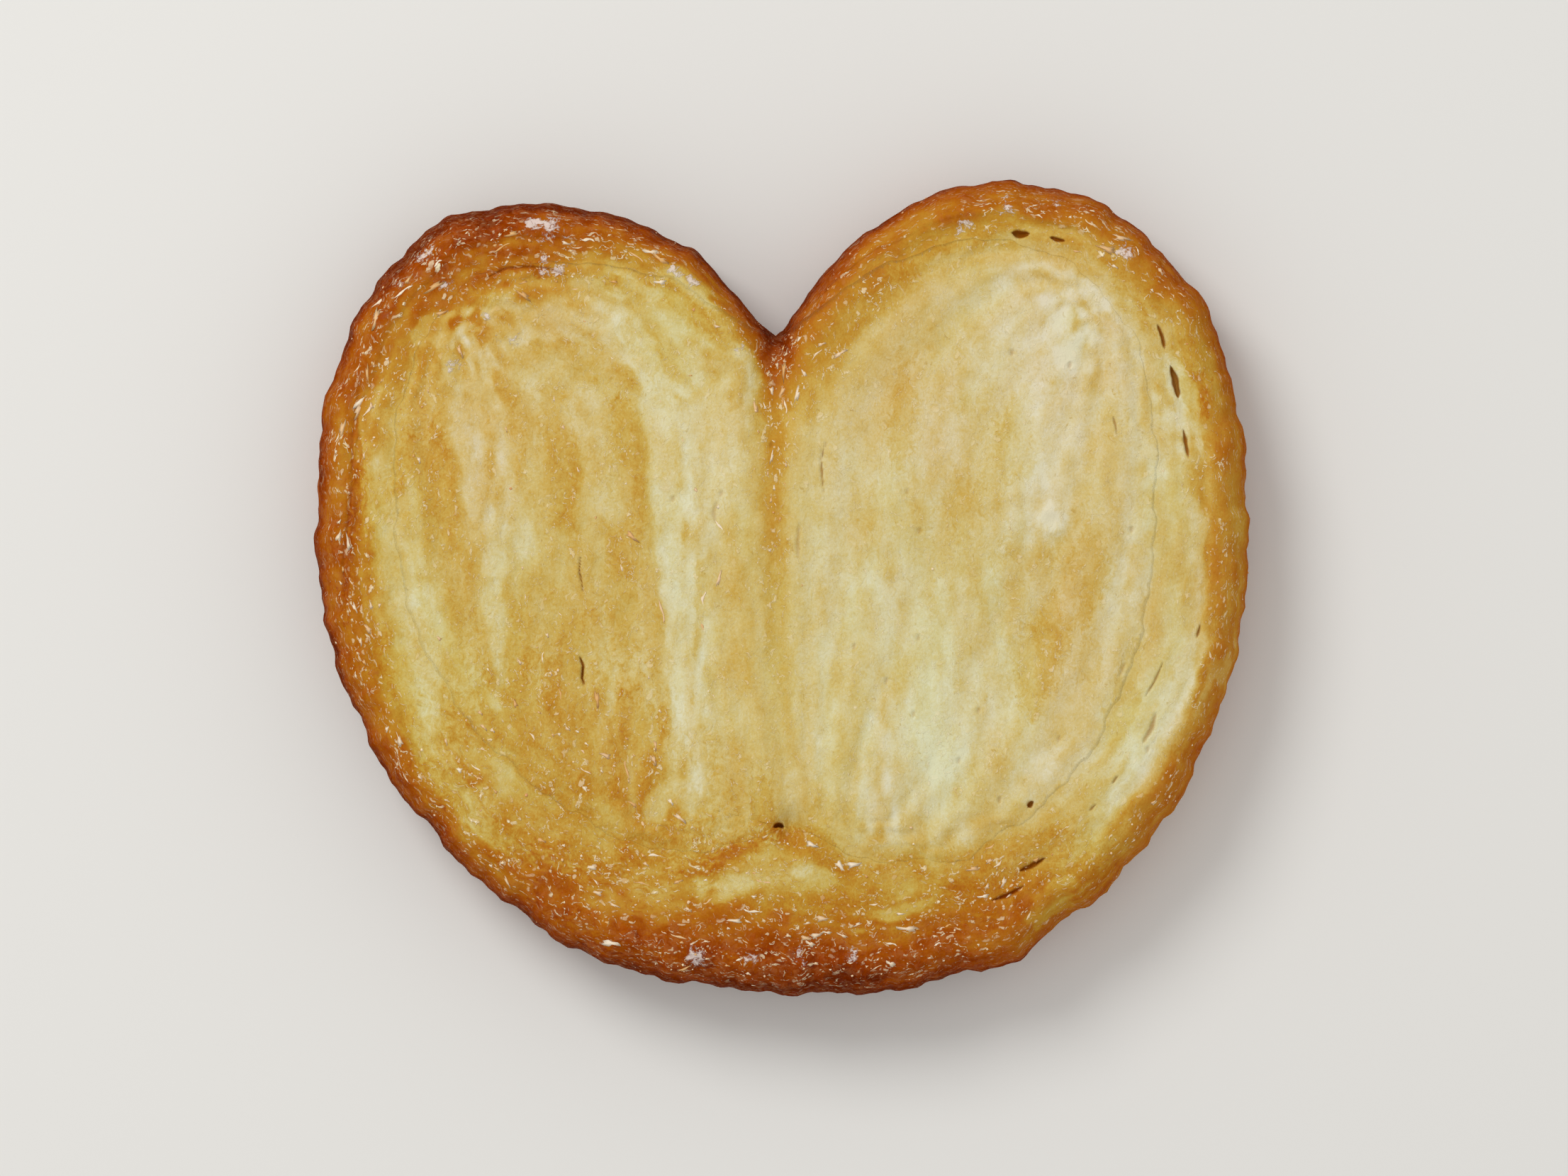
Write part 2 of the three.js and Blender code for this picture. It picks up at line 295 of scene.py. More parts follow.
def sheet(place, height, inset, across, turn, radius, shift=0.0, layer=0.0):
    """Rows of points, with where they are in the dough and which way their layers run."""
    wound = [radius * np.cos(turn) + 0 * across, radius * np.sin(turn) + 0 * across]
    flow = np.stack([across + shift, *wound], axis=-1)
    tangent = np.gradient(place, axis=1)
    tangent /= np.linalg.norm(tangent, axis=-1, keepdims=True) + 1e-9
    return dict(place=place, height=height, inset=inset, flow=flow, tangent=tangent, layer=layer + 0 * inset)


# %% [markdown]
# The side sheet climbs from the underside over the foot, the belly and the shoulder to the roll's edge on
# the face. Its rows crowd together towards the notch, where the back of the sheet thins out to nothing.

# %% The sheet of one side
def side_sheet(angles):
    thickness = back_thickness(angles)
    narrowed = np.minimum(1, thickness / BACK_THICKNESS)
    crease = crease_at(len(angles))
    under = inside(angles, thickness)
    rows = [(under, UNDER_GROOVE * seam_depth(under), thickness)]
    for k in range(FOOT_STEPS + 1):
        turn = (math.pi / 2) * (1 - k / FOOT_STEPS)
        inset = FOOT_INSET * (1 - math.cos(turn)) * narrowed
        height = BELLY_HEIGHT * (1 - math.sin(turn) ** FOOT_FULLNESS)
        rows.append((inside(angles, inset), height + 0 * angles, inset))
    for k in range(1, SHOULDER_STEPS + 1):
        turn = (math.pi / 2) * k / SHOULDER_STEPS
        inset = CRUST_INSET * (1 - math.cos(turn)) * narrowed
        place = inside(angles, inset)
        rows.append((place, top_height(place, inset), inset))
    for k in range(1, BACK_STEPS + 1):
        start = CRUST_INSET * narrowed
        inset = start + (thickness - start) * k / BACK_STEPS
        place = inside(angles, inset)
        at, wide, deep = BACK_FOLD
        fold = narrowed * deep * hump(inset / BACK_THICKNESS - at, wide) * (k < BACK_STEPS)
        height = top_height(place, inset) - crease * hump(thickness - inset, CREASE_WIDTH) - fold
        rows.append((place, height, inset))
    place, height, inset = (np.array([row[i] for row in rows]) for i in range(3))
    across = inset - (FACE_HEIGHT - np.minimum(height, FACE_HEIGHT))
    return sheet(place, height, inset, across, np.radians(angles), ROUND)


# %% [markdown]
# A roll's sheet shrinks from its edge to its core. Points on both sides of the core that stand opposite
# each other land on the same spot of it, so the two sides close up like a zip.

# %% The sheets of one roll
def roll_sheets(angles, core, folds, shift):
    thickness = back_thickness(angles)
    crease = np.r_[crease_at(len(angles)), np.zeros(SEAM_STEPS)]
    outer = inside(angles, thickness)
    edge = np.vstack([outer, seam_at(np.arange(1, SEAM_STEPS + 1) / SEAM_STEPS)])
    edge_inset = np.r_[thickness, inset_of(edge[len(angles) :])]
    edge[-1], edge_inset[-1] = edge[0], edge_inset[0]
    loop = len(edge) - 1
    around = (np.arange(loop + 1) - STEPS[0]) % loop
    down = np.minimum(around, loop - around) / (loop / 2)
    eased = np.clip((down - CORE_ENDS) / (1 - 2 * CORE_ENDS), 0, 1)
    eased = eased * eased * (3 - 2 * eased)
    middle = core[0] + eased[:, None] * (core[1] - core[0])
    turn = 2 * np.pi * np.arange(loop + 1) / loop

    def laid(steps):
        share = 1 - np.arange(steps + 1)[:, None] / steps
        return share, middle + share[..., None] * (edge - middle)

    share, place = laid(ROLL_STEPS)
    to_edge = np.linalg.norm(place - edge, axis=-1)
    inset = inset_of(place)
    inset[0] = edge_inset
    fold = sum(
        deep * hump(share - at - FOLD_DRIFT * np.sin(turn + FOLD_TURN * i), wide)
        for i, (at, wide, deep) in enumerate(folds)
    )
    room = np.linalg.norm(middle - edge, axis=-1) / FOLD_ROOM
    fold = FOLD_STRENGTH * fold * np.minimum(1, to_edge / FOLD_MARGIN) * np.minimum(1, room) ** 2
    hollow = crease * hump(to_edge, CREASE_WIDTH) + fold
    height = top_height(place, inset) - np.minimum(1, 4 * share) * hollow
    height[0] = top_height(edge, edge_inset) - crease
    across = BACK_LINES + ROLL_LINES * (1 - share) + 0 * inset
    face = sheet(place, height, inset, across, turn, ROLL_ROUND, shift, layer=1 - share)
    share, place = laid(UNDER_STEPS)
    across = BACK_LINES - FACE_HEIGHT + ROLL_LINES * (1 - share) + 0 * place[..., 0]
    height, inset = UNDER_GROOVE * seam_depth(place), inset_of(place)
    under = sheet(place, height, inset, across, turn, ROLL_ROUND, shift, layer=1 - share)
    return face, {name: values[::-1] for name, values in under.items()}


# %% [markdown]
# The sheets share their border points. Points in the same place become one, and four-sided faces that have
# shrunk to a line are dropped, which leaves a single closed skin. The right half is a mirror in its way of
# counting, so its faces are turned over to look outwards.

# %% Join the sheets into one skin
FIELDS = {"place": 2, "height": 1, "inset": 1, "flow": 3, "tangent": 2, "layer": 1}
MERGE_STEPS = 1e4  # steps to a millimetre; points in the same step are one


def join_sheets(sheets):
    """One table of points and one of four-sided faces, with the shared borders joined."""
    columns, faces, start = [], [], 0
    for made, turned in sheets:
        rows, cols = made["height"].shape
        columns.append(np.hstack([made[name].reshape(rows * cols, width) for name, width in FIELDS.items()]))
        index = start + np.arange(rows * cols).reshape(rows, cols)
        corners = [index[:-1, :-1], index[:-1, 1:], index[1:, 1:], index[1:, :-1]]
        faces.append(np.stack(corners[::-1] if turned else corners, axis=-1).reshape(-1, 4))
        start += rows * cols
    table, faces = np.vstack(columns), np.vstack(faces)
    steps = np.round(table[:, :3] * MERGE_STEPS).astype(np.int64)
    _, first, same = np.unique(steps, axis=0, return_index=True, return_inverse=True)
    return table[first], same.reshape(-1)[faces]


sheets = []
for name, shape in ROLLS.items():
    turned = name == "right"
    angles = directions(shape["stops"])
    face, under = roll_sheets(angles, shape["core"], shape["folds"], RIGHT_AWAY if turned else 0.0)
    sheets += [(side_sheet(angles), turned), (face, turned), (under, turned)]
table, faces = join_sheets(sheets)
ends = np.cumsum(list(FIELDS.values()))[:-1]
place, height, inset, flow, tangent, layer = np.split(table, ends, axis=1)
height, inset, layer = height[:, 0], inset[:, 0], layer[:, 0]
polygons = [list(dict.fromkeys(four)) for four in faces.tolist()]
polygons = [corners for corners in polygons if len(corners) > 2]
print(len(table), "points,", len(polygons), "faces")

# %% [markdown]
# ## Brush the layers
# Streaks that follow the layers are the look of puff pastry. A noise stretched along one axis can't turn
# with them, so the streaks are brushed instead: every point starts with a plain noise, and then takes on
# the average of the neighbours that lie along its layer, over and over. The more strokes, the longer the
# streaks. Deep in the rolls the layers lean too far for that, so the streaks there are a noise stretched
# from front to back.

# %% Neighbours along the layers
pairs = np.unique(np.sort(np.vstack([faces[:, [i, (i + 1) % 4]] for i in range(4)]), axis=1), axis=0)
pairs = pairs[pairs[:, 0] != pairs[:, 1]]
solid = np.column_stack([place, height])
along_edge = solid[pairs[:, 1]] - solid[pairs[:, 0]]
long = np.linalg.norm(along_edge, axis=1) + 1e-9
tangent = np.column_stack([tangent, 0 * height])
lined_up = np.abs((along_edge * (tangent[pairs[:, 0]] + tangent[pairs[:, 1]])).sum(1)) / (2 * long)
pull = lined_up**6  # only neighbours that are nearly in line count
pull_sum = np.bincount(pairs[:, 0], pull, len(solid)) + np.bincount(pairs[:, 1], pull, len(solid))


def spread_to_one(values):
    return (values - values.mean()) / values.std()


def cloudy(points):
    return np.array([noise.fractal(point, 1.0, 2.0, 2) for point in points])


UPRIGHT = 2.6  # how far the noise deep in the rolls is stretched
DEEP_FROM, DEEP_OVER = 0.12, 0.3  # where it sets in, as shares of the way to a roll's core
TURN_TOP, TURN_OVER = 17.0, 8.0  # it fades out towards the shoulders, where the layers turn over
deep_in = np.clip((layer - DEEP_FROM) / DEEP_OVER, 0, 1)
deep_in = deep_in * np.clip((TURN_TOP - place[:, 1]) / TURN_OVER, 0, 1)


def brushed(size, strokes, seed):
    """A noise with blobs of some size in mm, brushed along the layers, with a mean of 0 and a spread of 1."""
    values = cloudy((solid + seed) / size)
    for _ in range(strokes):
        given = np.bincount(pairs[:, 0], pull * values[pairs[:, 1]], len(solid))
        given += np.bincount(pairs[:, 1], pull * values[pairs[:, 0]], len(solid))
        values = (values + 2 * given) / (1 + 2 * pull_sum)
    upright = cloudy((solid - seed) / (size, UPRIGHT * size, size))
    return spread_to_one(values) * (1 - deep_in) + spread_to_one(upright) * deep_in


clouds = brushed(5.0, 40, 11.0)
daubs = brushed(1.7, 16, 37.0)
wisps = brushed(0.9, 10, 71.0)
lumps = brushed(1.3, 0, 5.0)
print("brushed", len(pairs), "pairs of neighbours")

# %% [markdown]
# ## How brown each place is
# Browning is one number for every point, from 0 for pale dough to 1 for dark caramel. Most of it follows
# from how far the point is from the edge, which bakes first: how brown the crust is, how wide it is, how
# softly it ends and what the dough inside comes to all vary with the direction. The dark strip at the very
# edge is partly caramel and partly painted shade, where the edge turns down away from the light. On the
# right rim that strip is painted lighter, as painted light against the shade the key light leaves there.

# %% Browning from the edge inwards
CRUST_BROWN = [
    dict(at=276, by=0.26, spread=24),
    dict(at=244, by=0.10, spread=12),
    dict(at=132, by=0.18, spread=18),
    dict(at=176, by=0.04, spread=20),
    dict(at=58, by=0.06, spread=14),
    dict(at=208, by=0.05, spread=20),
    dict(at=356, by=-0.09, spread=16),
    dict(at=30, by=-0.05, spread=10),
    dict(at=330, by=-0.07, spread=12),
]
CRUST_WIDTH = [
    dict(at=80, by=1.2, spread=22),
    dict(at=102, by=-2.4, spread=9),
    dict(at=114, by=-1.2, spread=7),
    dict(at=134, by=3.3, spread=15),
    dict(at=180, by=0.9, spread=9),
    dict(at=213, by=-1.2, spread=11),
    dict(at=240, by=1.0, spread=12),
    dict(at=270, by=1.3, spread=20),
    dict(at=302, by=2.3, spread=10),
    dict(at=320, by=-1.0, spread=9),
    dict(at=345, by=-0.9, spread=12),
    dict(at=12, by=0.4, spread=12),
]
CRUST_SOFTNESS = [dict(at=350, by=-0.16, spread=32)]
DOUGH_BROWN = [
    dict(at=262, by=0.24, spread=38),
    dict(at=145, by=0.14, spread=22),
    dict(at=342, by=-0.10, spread=16),
    dict(at=48, by=-0.06, spread=20),
    dict(at=88, by=0.06, spread=12),
]
MIDDLE_BROWN, DOUGH_INSET, DOUGH_REACH = 0.31, 5.0, 7.0
# Darkening at the very edge: partly caramel, partly painted shade where the edge turns down away from the
# light. The bulges at 345 and 318 degrees paint it lighter, as painted light against the key light's shade on
# the right rim.
EDGE_BROWN_AND_PAINTED_LIGHT = [
    dict(at=122, by=0.22, spread=20),
    dict(at=205, by=0.06, spread=25),
    dict(at=345, by=-0.17, spread=45),
    dict(at=318, by=-0.08, spread=12),
]
EDGE_REACH = 0.8
PLAIN_CRUST, PLAIN_WIDTH, PLAIN_SOFTNESS, PLAIN_EDGE_BROWN_AND_SHADE = 0.66, 3.6, 0.22, 0.28  # before the bulges
around = degrees_of(place)
dough = MIDDLE_BROWN + bulges(around, DOUGH_BROWN) * hump(np.maximum(inset - DOUGH_INSET, 0), DOUGH_REACH)
crust = PLAIN_CRUST + bulges(around, CRUST_BROWN)
width = PLAIN_WIDTH + bulges(around, CRUST_WIDTH)
softness = PLAIN_SOFTNESS + bulges(around, CRUST_SOFTNESS)
edge = PLAIN_EDGE_BROWN_AND_SHADE + bulges(around, EDGE_BROWN_AND_PAINTED_LIGHT)
depth = inset * (1 + 0.06 * daubs + 0.05 * clouds) - 0.12 * wisps
crusty = soft_edge(depth / width, 1, softness)
# The last term is the very edge's caramel and painted shade.
brown = dough + (crust - dough) * crusty + edge * np.exp(-np.maximum(inset, 0) / EDGE_REACH)
print("browning from the edge:", brown.min().round(2), "to", brown.max().round(2))

# %% [markdown]
# Then come brush strokes, each one a real layer that baked paler or browner than its neighbours: the middle
# line of the stroke, its half width and how much it adds. Rounder patches are given by a middle, two half
# lengths and a tilt. The borders of both are pushed about by the brushed noise, which leaves them torn
# along the layers, as dough is.

# %% Strokes and patches of paler and browner dough
STROKES = [  # middle line, half width, browning
    # the left roll
    (  # the widest pale layer
        [(-16.7, 24.6), (-12.4, 21.2), (-10.4, 16.9), (-9.5, 12.4), (-9.0, 5.0),
         (-8.7, 0.0), (-8.2, -5.7), (-7.8, -11.0), (-7.2, -15.8)],
        1.3, -0.165,
    ),
    ([(-17.0, 12.4), (-16.8, 9.0), (-17.2, 6.2)], 0.25, 0.14),
    ([(-18.6, 5.2), (-17.4, 5.8), (-16.6, 4.4)], 0.22, 0.12),
    ([(-29.9, 2.0), (-29.6, -4.1), (-28.2, -11.2)], 1.3, -0.10),
    ([(-23.5, 10.1), (-23.5, 2.8), (-23.3, -9.6)], 0.8, -0.12),
    ([(-26.5, 22.0), (-24.6, 19.2), (-23.0, 17.0)], 0.8, -0.12),
    ([(-2.9, 12.0), (-3.3, 6.0), (-3.2, 1.0)], 0.9, 0.07),
    ([(-23.6, 17.0), (-21.9, 12.9)], 1.4, 0.06),
    ([(-28.2, 13.0), (-27.4, 7.5), (-27.0, 3.0)], 1.1, 0.14),
    ([(-18.6, 16.0), (-18.0, 8.0), (-17.8, 3.5)], 1.2, 0.10),
    ([(-13.2, 15.0), (-12.2, 11.0), (-11.7, 6.0)], 1.2, 0.14),
    ([(-13.6, 4.0), (-13.2, -1.0), (-12.6, -5.0)], 1.3, 0.10),
    ([(-19.4, 0.0), (-17.0, -3.6), (-17.6, -8.5), (-16.6, -13.0)], 1.2, 0.09),
    ([(-30.2, 12.0), (-29.9, 6.0), (-29.2, 3.0)], 1.2, 0.10),
    ([(-27.0, -1.0), (-26.9, -6.0)], 1.0, 0.09),
    ([(-3.2, 1.0), (-3.1, -3.0), (-2.9, -8.0)], 0.9, 0.04),
    # the right roll
    ([(22.0, 23.0), (21.9, 14.2), (21.3, 4.5)], 2.5, -0.15),
    ([(17.1, -5.8), (13.7, -12.2), (10.8, -15.6)], 2.4, -0.07),
    ([(3.4, 3.0), (2.6, -8.0), (2.2, -15.0)], 1.2, -0.075),
    ([(27.2, 1.7), (26.6, -3.0), (26.0, -7.6)], 0.7, -0.07),
    ([(30.2, -12.6), (28.2, -16.6)], 0.6, -0.08),
    ([(20.0, -16.2), (22.3, -13.3)], 0.8, -0.12),
    ([(17.6, -8.0), (17.2, -11.5), (16.6, -15.0)], 1.1, -0.08),
    ([(22.2, -1.0), (21.4, -4.0), (20.4, -9.6)], 1.8, 0.13),
    ([(24.8, 0.5), (24.4, -3.0)], 0.8, 0.12),
    ([(28.6, -5.0), (27.6, -9.5), (26.6, -13.0)], 1.0, 0.13),
    ([(27.4, 24.0), (29.4, 21.3), (31.0, 18.4)], 1.2, 0.08),
    ([(2.8, -17.2), (3.4, -19.2)], 0.8, 0.08),
    # beside the notch
    ([(-14.3, 25.9), (-12.3, 25.1), (-10.1, 23.6)], 0.45, -0.15),
    ([(-9.3, 25.6), (-7.5, 24.3), (-6.1, 23.0)], 0.45, -0.11),
    ([(-10.4, 22.7), (-8.7, 21.8), (-7.6, 19.6)], 0.6, -0.05),
    ([(-4.8, 20.6), (-3.4, 19.2), (-2.2, 17.0)], 0.7, -0.14),
    ([(-14.0, 24.9), (-9.4, 24.3), (-6.6, 21.9), (-4.0, 19.6)], 0.9, 0.14),
    # the back of the sheet
    ([(5.8, -27.9), (8.8, -27.0), (12.0, -25.4)], 0.8, -0.15),
    ([(9.5, -22.4), (16.0, -22.2), (22.0, -19.8)], 1.3, 0.11),
    ([(-7.4, -23.4), (-4.0, -21.7), (-0.8, -20.0)], 0.9, 0.15),
    ([(-0.4, -20.0), (2.6, -21.4), (5.2, -23.0)], 0.9, 0.18),
    ([(13.2, -24.6), (16.2, -24.4)], 0.8, 0.10),
    # along the edge
    ([(31.2, 18.8), (32.1, 15.5), (33.1, 11.5)], 0.7, -0.20),
    ([(33.5, 9.0), (33.9, 3.0), (33.6, -2.0)], 0.35, -0.12),
    ([(33.6, -3.2), (32.2, -8.6), (30.0, -13.8), (27.4, -18.3)], 1.2, -0.125),
    ([(32.8, -9.6), (31.4, -13.0), (29.4, -16.4)], 0.5, 0.10),
    # along the cracks
    ([(-24.8, 24.8), (-22.4, 25.9), (-20.4, 26.1), (-18.8, 25.9), (-16.6, 25.2)], 0.3, 0.12),
    ([(-34.0, 18.0), (-34.6, 13.0), (-34.8, 8.0), (-35.4, 1.7), (-35.4, -3.0)], 0.35, 0.19),
]
PATCHES = [  # middle, half lengths, tilt in degrees, browning
    # the left roll
    ((-17.0, -15.0), (11.5, 8.0), -25, 0.13),
    ((-22.0, 4.0), (12.0, 7.0), 0, 0.04),
    ((-16.0, 18.6), (1.3, 1.8), 0, 0.08),
    ((-22.8, 4.2), (0.9, 2.4), 0, 0.06),
    ((-24.5, 8.4), (1.7, 2.6), 0, -0.14),
    ((-22.2, 6.0), (1.0, 4.0), 0, -0.07),
    ((-9.4, -13.4), (1.2, 1.6), 0, -0.10),
    ((-5.8, 11.0), (2.4, 5.6), 0, -0.11),
    ((-3.7, 14.6), (0.9, 1.6), 0, -0.10),
    ((-7.8, 12.0), (1.2, 3.2), 0, -0.13),
    ((-7.3, 4.0), (0.9, 1.3), 0, -0.07),
    ((-18.5, 25.4), (6.0, 2.6), -6, -0.07),
    ((-19.5, 21.6), (6.5, 1.6), 0, -0.13),
    ((-24.8, 13.6), (2.2, 3.4), 0, -0.10),
    ((-27.8, 20.8), (1.6, 1.2), 0, -0.10),
    ((-16.4, 14.2), (1.4, 1.8), 20, -0.06),
    ((-14.0, 7.6), (1.6, 2.4), 0, -0.06),
    ((-24.2, -17.5), (1.5, 3.4), -30, -0.08),
    ((-21.6, -5.0), (0.9, 3.0), 0, 0.08),
    ((-17.0, -9.0), (1.4, 3.0), 0, -0.07),
    ((-10.0, -17.4), (2.6, 1.4), 10, -0.10),
    ((-13.8, -11.0), (1.2, 2.4), 0, -0.07),
    ((-17.0, -17.2), (3.0, 1.6), 0, 0.09),
    ((-1.6, -17.6), (0.9, 2.0), 0, 0.14),
    # the right roll
    ((14.0, 2.0), (16.0, 20.0), 0, -0.05),
    ((19.2, 19.8), (3.8, 5.0), 0, -0.13),
    ((27.4, 18.0), (1.9, 4.0), 0, -0.10),
    ((24.2, 11.5), (1.6, 2.0), 0, -0.06),
    ((30.4, 12.0), (1.4, 2.2), 0, -0.13),
    ((28.2, 6.5), (1.2, 2.6), 0, -0.08),
    ((29.0, 0.4), (0.9, 2.0), 0, -0.11),
    ((4.4, 9.0), (1.0, 3.4), 0, -0.08),
    ((19.3, 6.4), (1.9, 3.0), 0, -0.115),
    ((23.4, 24.4), (2.6, 1.2), -35, -0.09),
    ((12.4, 11.2), (1.8, 3.2), 0, -0.08),
    ((11.6, -3.8), (4.2, 3.6), -20, -0.09),
    ((6.4, -1.0), (2.6, 9.0), 0, -0.05),
    ((11.5, -12.8), (4.2, 4.6), -20, -0.13),
    ((7.8, -13.4), (1.4, 2.6), 0, -0.06),
    ((10.6, 0.4), (4.4, 1.0), 0, -0.07),
    ((21.8, 5.4), (1.2, 1.3), 0, -0.24),  # a blister
    ((20.4, 3.2), (2.6, 1.8), 20, 0.10),
    ((26.9, 14.0), (0.9, 1.9), 0, 0.08),
    ((9.6, 15.0), (1.2, 4.0), 0, 0.12),
    ((14.5, 6.5), (1.6, 3.0), 0, 0.07),
    ((6.8, 5.0), (1.2, 2.2), 0, 0.07),
    ((25.0, -6.0), (1.0, 2.0), 0, 0.10),
    ((9.0, 24.0), (2.0, 1.2), 45, 0.07),
    ((25.0, 2.2), (1.5, 2.5), 0, 0.08),
    ((15.5, 19.5), (1.4, 5.0), -5, 0.07),
    ((18.8, 12.0), (1.4, 3.5), 0, 0.10),
    ((7.8, -17.8), (1.4, 2.2), 0, -0.14),
    ((7.8, -9.0), (1.8, 2.0), 0, -0.08),
    ((21.5, -15.0), (3.5, 2.6), 30, -0.10),
    ((27.4, -14.6), (1.2, 1.8), -30, -0.08),
    ((12.8, -18.6), (4.8, 1.8), 5, -0.07),
    ((13.0, 20.5), (2.5, 1.5), 20, 0.06),
    ((0.9, -17.0), (1.0, 1.6), 0, -0.06),
    # beside the notch
    ((-11.4, 20.0), (1.2, 2.4), 25, 0.10),
    ((-14.0, 19.0), (1.4, 1.8), 40, -0.07),
    ((-7.4, 18.8), (1.3, 1.3), 0, -0.07),
    # the back of the sheet
    ((18.6, -23.6), (3.0, 1.2), 20, 0.07),
    ((6.0, -26.0), (20.0, 3.0), 8, 0.07),
    ((-1.4, -23.3), (4.2, 1.7), 8, -0.08),  # a pale lens below the junction
    ((-4.6, -24.6), (2.0, 0.6), 18, -0.17),
    ((2.0, -23.2), (1.9, 0.42), -14, -0.15),
    ((0.8, -21.7), (2.0, 0.8), 15, 0.10),
    ((5.6, -24.4), (2.4, 1.6), 0, 0.07),
    ((-10.6, -22.6), (1.4, 1.3), 0, 0.09),
    ((-11.6, -25.6), (3.8, 2.2), 5, -0.10),
    ((-7.2, -30.0), (1.4, 0.9), 0, 0.09),
    ((21.8, -25.6), (2.2, 1.0), 35, -0.10),
    ((-18.5, -25.0), (2.0, 1.5), -30, 0.12),
    ((22.4, -20.2), (2.2, 1.4), 30, 0.11),
    ((13.6, -21.6), (1.6, 1.4), 0, -0.09),
    # along the edge
    ((33.5, 15.6), (0.7, 1.6), 5, 0.12),
    ((-34.2, 3.0), (2.2, 1.2), 0, 0.07),
    ((-32.0, -5.0), (2.6, 1.6), 10, 0.09),
    ((-30.8, 5.0), (1.6, 2.4), 0, -0.08),
    ((-33.8, 14.0), (1.0, 3.0), 0, -0.08),
    ((-31.5, 0.5), (1.8, 3.5), 0, -0.08),
    ((33.0, 12.2), (0.7, 1.4), 0, -0.10),
    ((35.2, -6.0), (1.0, 1.6), -10, -0.10),
    ((16.0, 26.2), (2.4, 0.8), 8, 0.06),
]


def line_at(place, points):
    """How far each place is from a line through some points, and where along the line, from 0 to 1."""
    points = np.array(points, float)
    lengths = np.linalg.norm(np.diff(points, axis=0), axis=1)
    nearest, found = np.full(len(place), np.inf), np.zeros(len(place))
    for start, end, length, before in zip(points, points[1:], lengths, np.cumsum(lengths) - lengths):
        along = end - start
        share = np.clip(((place - start) @ along) / length**2, 0, 1)
        away = np.linalg.norm(place - start - share[:, None] * along, axis=1)
        found = np.where(away < nearest, (before + share * length) / lengths.sum(), found)
        nearest = np.minimum(nearest, away)
    return nearest, found


def pointed(along, least):
    """A share of the full width that narrows to the least at both ends of a line."""
    return np.maximum(np.sqrt(np.clip(4 * along * (1 - along), 0, 1)), least)


def stroke_share(points, half):
    """How much each place belongs to a stroke, whose border is torn along the layers."""
    off, along = line_at(place, points)
    return soft_edge(off + torn_along, half * pointed(along, 0.4), 0.14 + 0.15 * half)


def patch_share(middle, halves, tilt, softness=0.2):
    turn = math.radians(tilt)
    across = place - np.array(middle)
    first = (across @ (math.cos(turn), math.sin(turn))) / halves[0]
    second = (across @ (-math.sin(turn), math.cos(turn))) / halves[1]
    size = math.sqrt(halves[0] * halves[1])
    return soft_edge(np.hypot(first, second) * size + torn, size, softness * size)


def together(shares):
    """Overlapping shares as one share, and the weighted mean of what they add."""
    covered = 1 - np.prod([1 - share for share, _ in shares], axis=0)
    total = sum(share for share, _ in shares) + 1e-6
    by = sum(share * abs(by) for share, by in shares) / np.maximum(total, covered)
    return covered, by * np.maximum(1, total / (covered + 1e-6))


torn_along = 0.25 * daubs + 0.2 * clouds + 0.2 * wisps + 0.08 * lumps
torn = torn_along + 0.22 * lumps
on_face = np.clip((height - BELLY_HEIGHT) / 2, 0, 1)
drawn = [(stroke_share(points, half) * on_face, by) for points, half, by in STROKES]
drawn += [(patch_share(middle, halves, tilt) * on_face, by) for middle, halves, tilt, by in PATCHES]
pale, pale_by = together([one for one in drawn if one[1] < 0])
gold, gold_by = together([one for one in drawn if one[1] > 0])
share_up, _, off_seam = along_seam(place)
in_seam = soft_edge(off_seam + 0.3 * lumps + 0.2 * daubs, 1.0, 0.2)
seam_brown = (0.16 + 0.08 * share_up) * in_seam * np.minimum(1, 2 * share_up)
pit_brown = 0.1 * hump(np.linalg.norm(place - junction_point, axis=1), PIT_WIDTH)
brown = brown + on_face * (seam_brown + pit_brown)
streaky = 1 - 0.65 * patch_share((15.0, 2.0), (13.0, 20.0), 0, 0.3)
streaks = 0.03 * clouds + 0.042 * np.tanh(1.5 * daubs) + 0.03 * wisps
brown = brown + streaky * streaks + 0.02 * lumps
underneath = np.maximum(brown + 0.12, 0.45)  # it lay on the hot tray
brown = np.clip(np.where(height < 1.0, underneath, brown), 0.0, 1.0)
print("share of pale dough", pale.mean().round(2), "and of golden", gold.mean().round(2))

# %% [markdown]
# Dough that is equally dark isn't equally warm: here it leans to orange and there to a greenish yellow.
# That is a broad, soft change, so it is given by patches with wide borders.

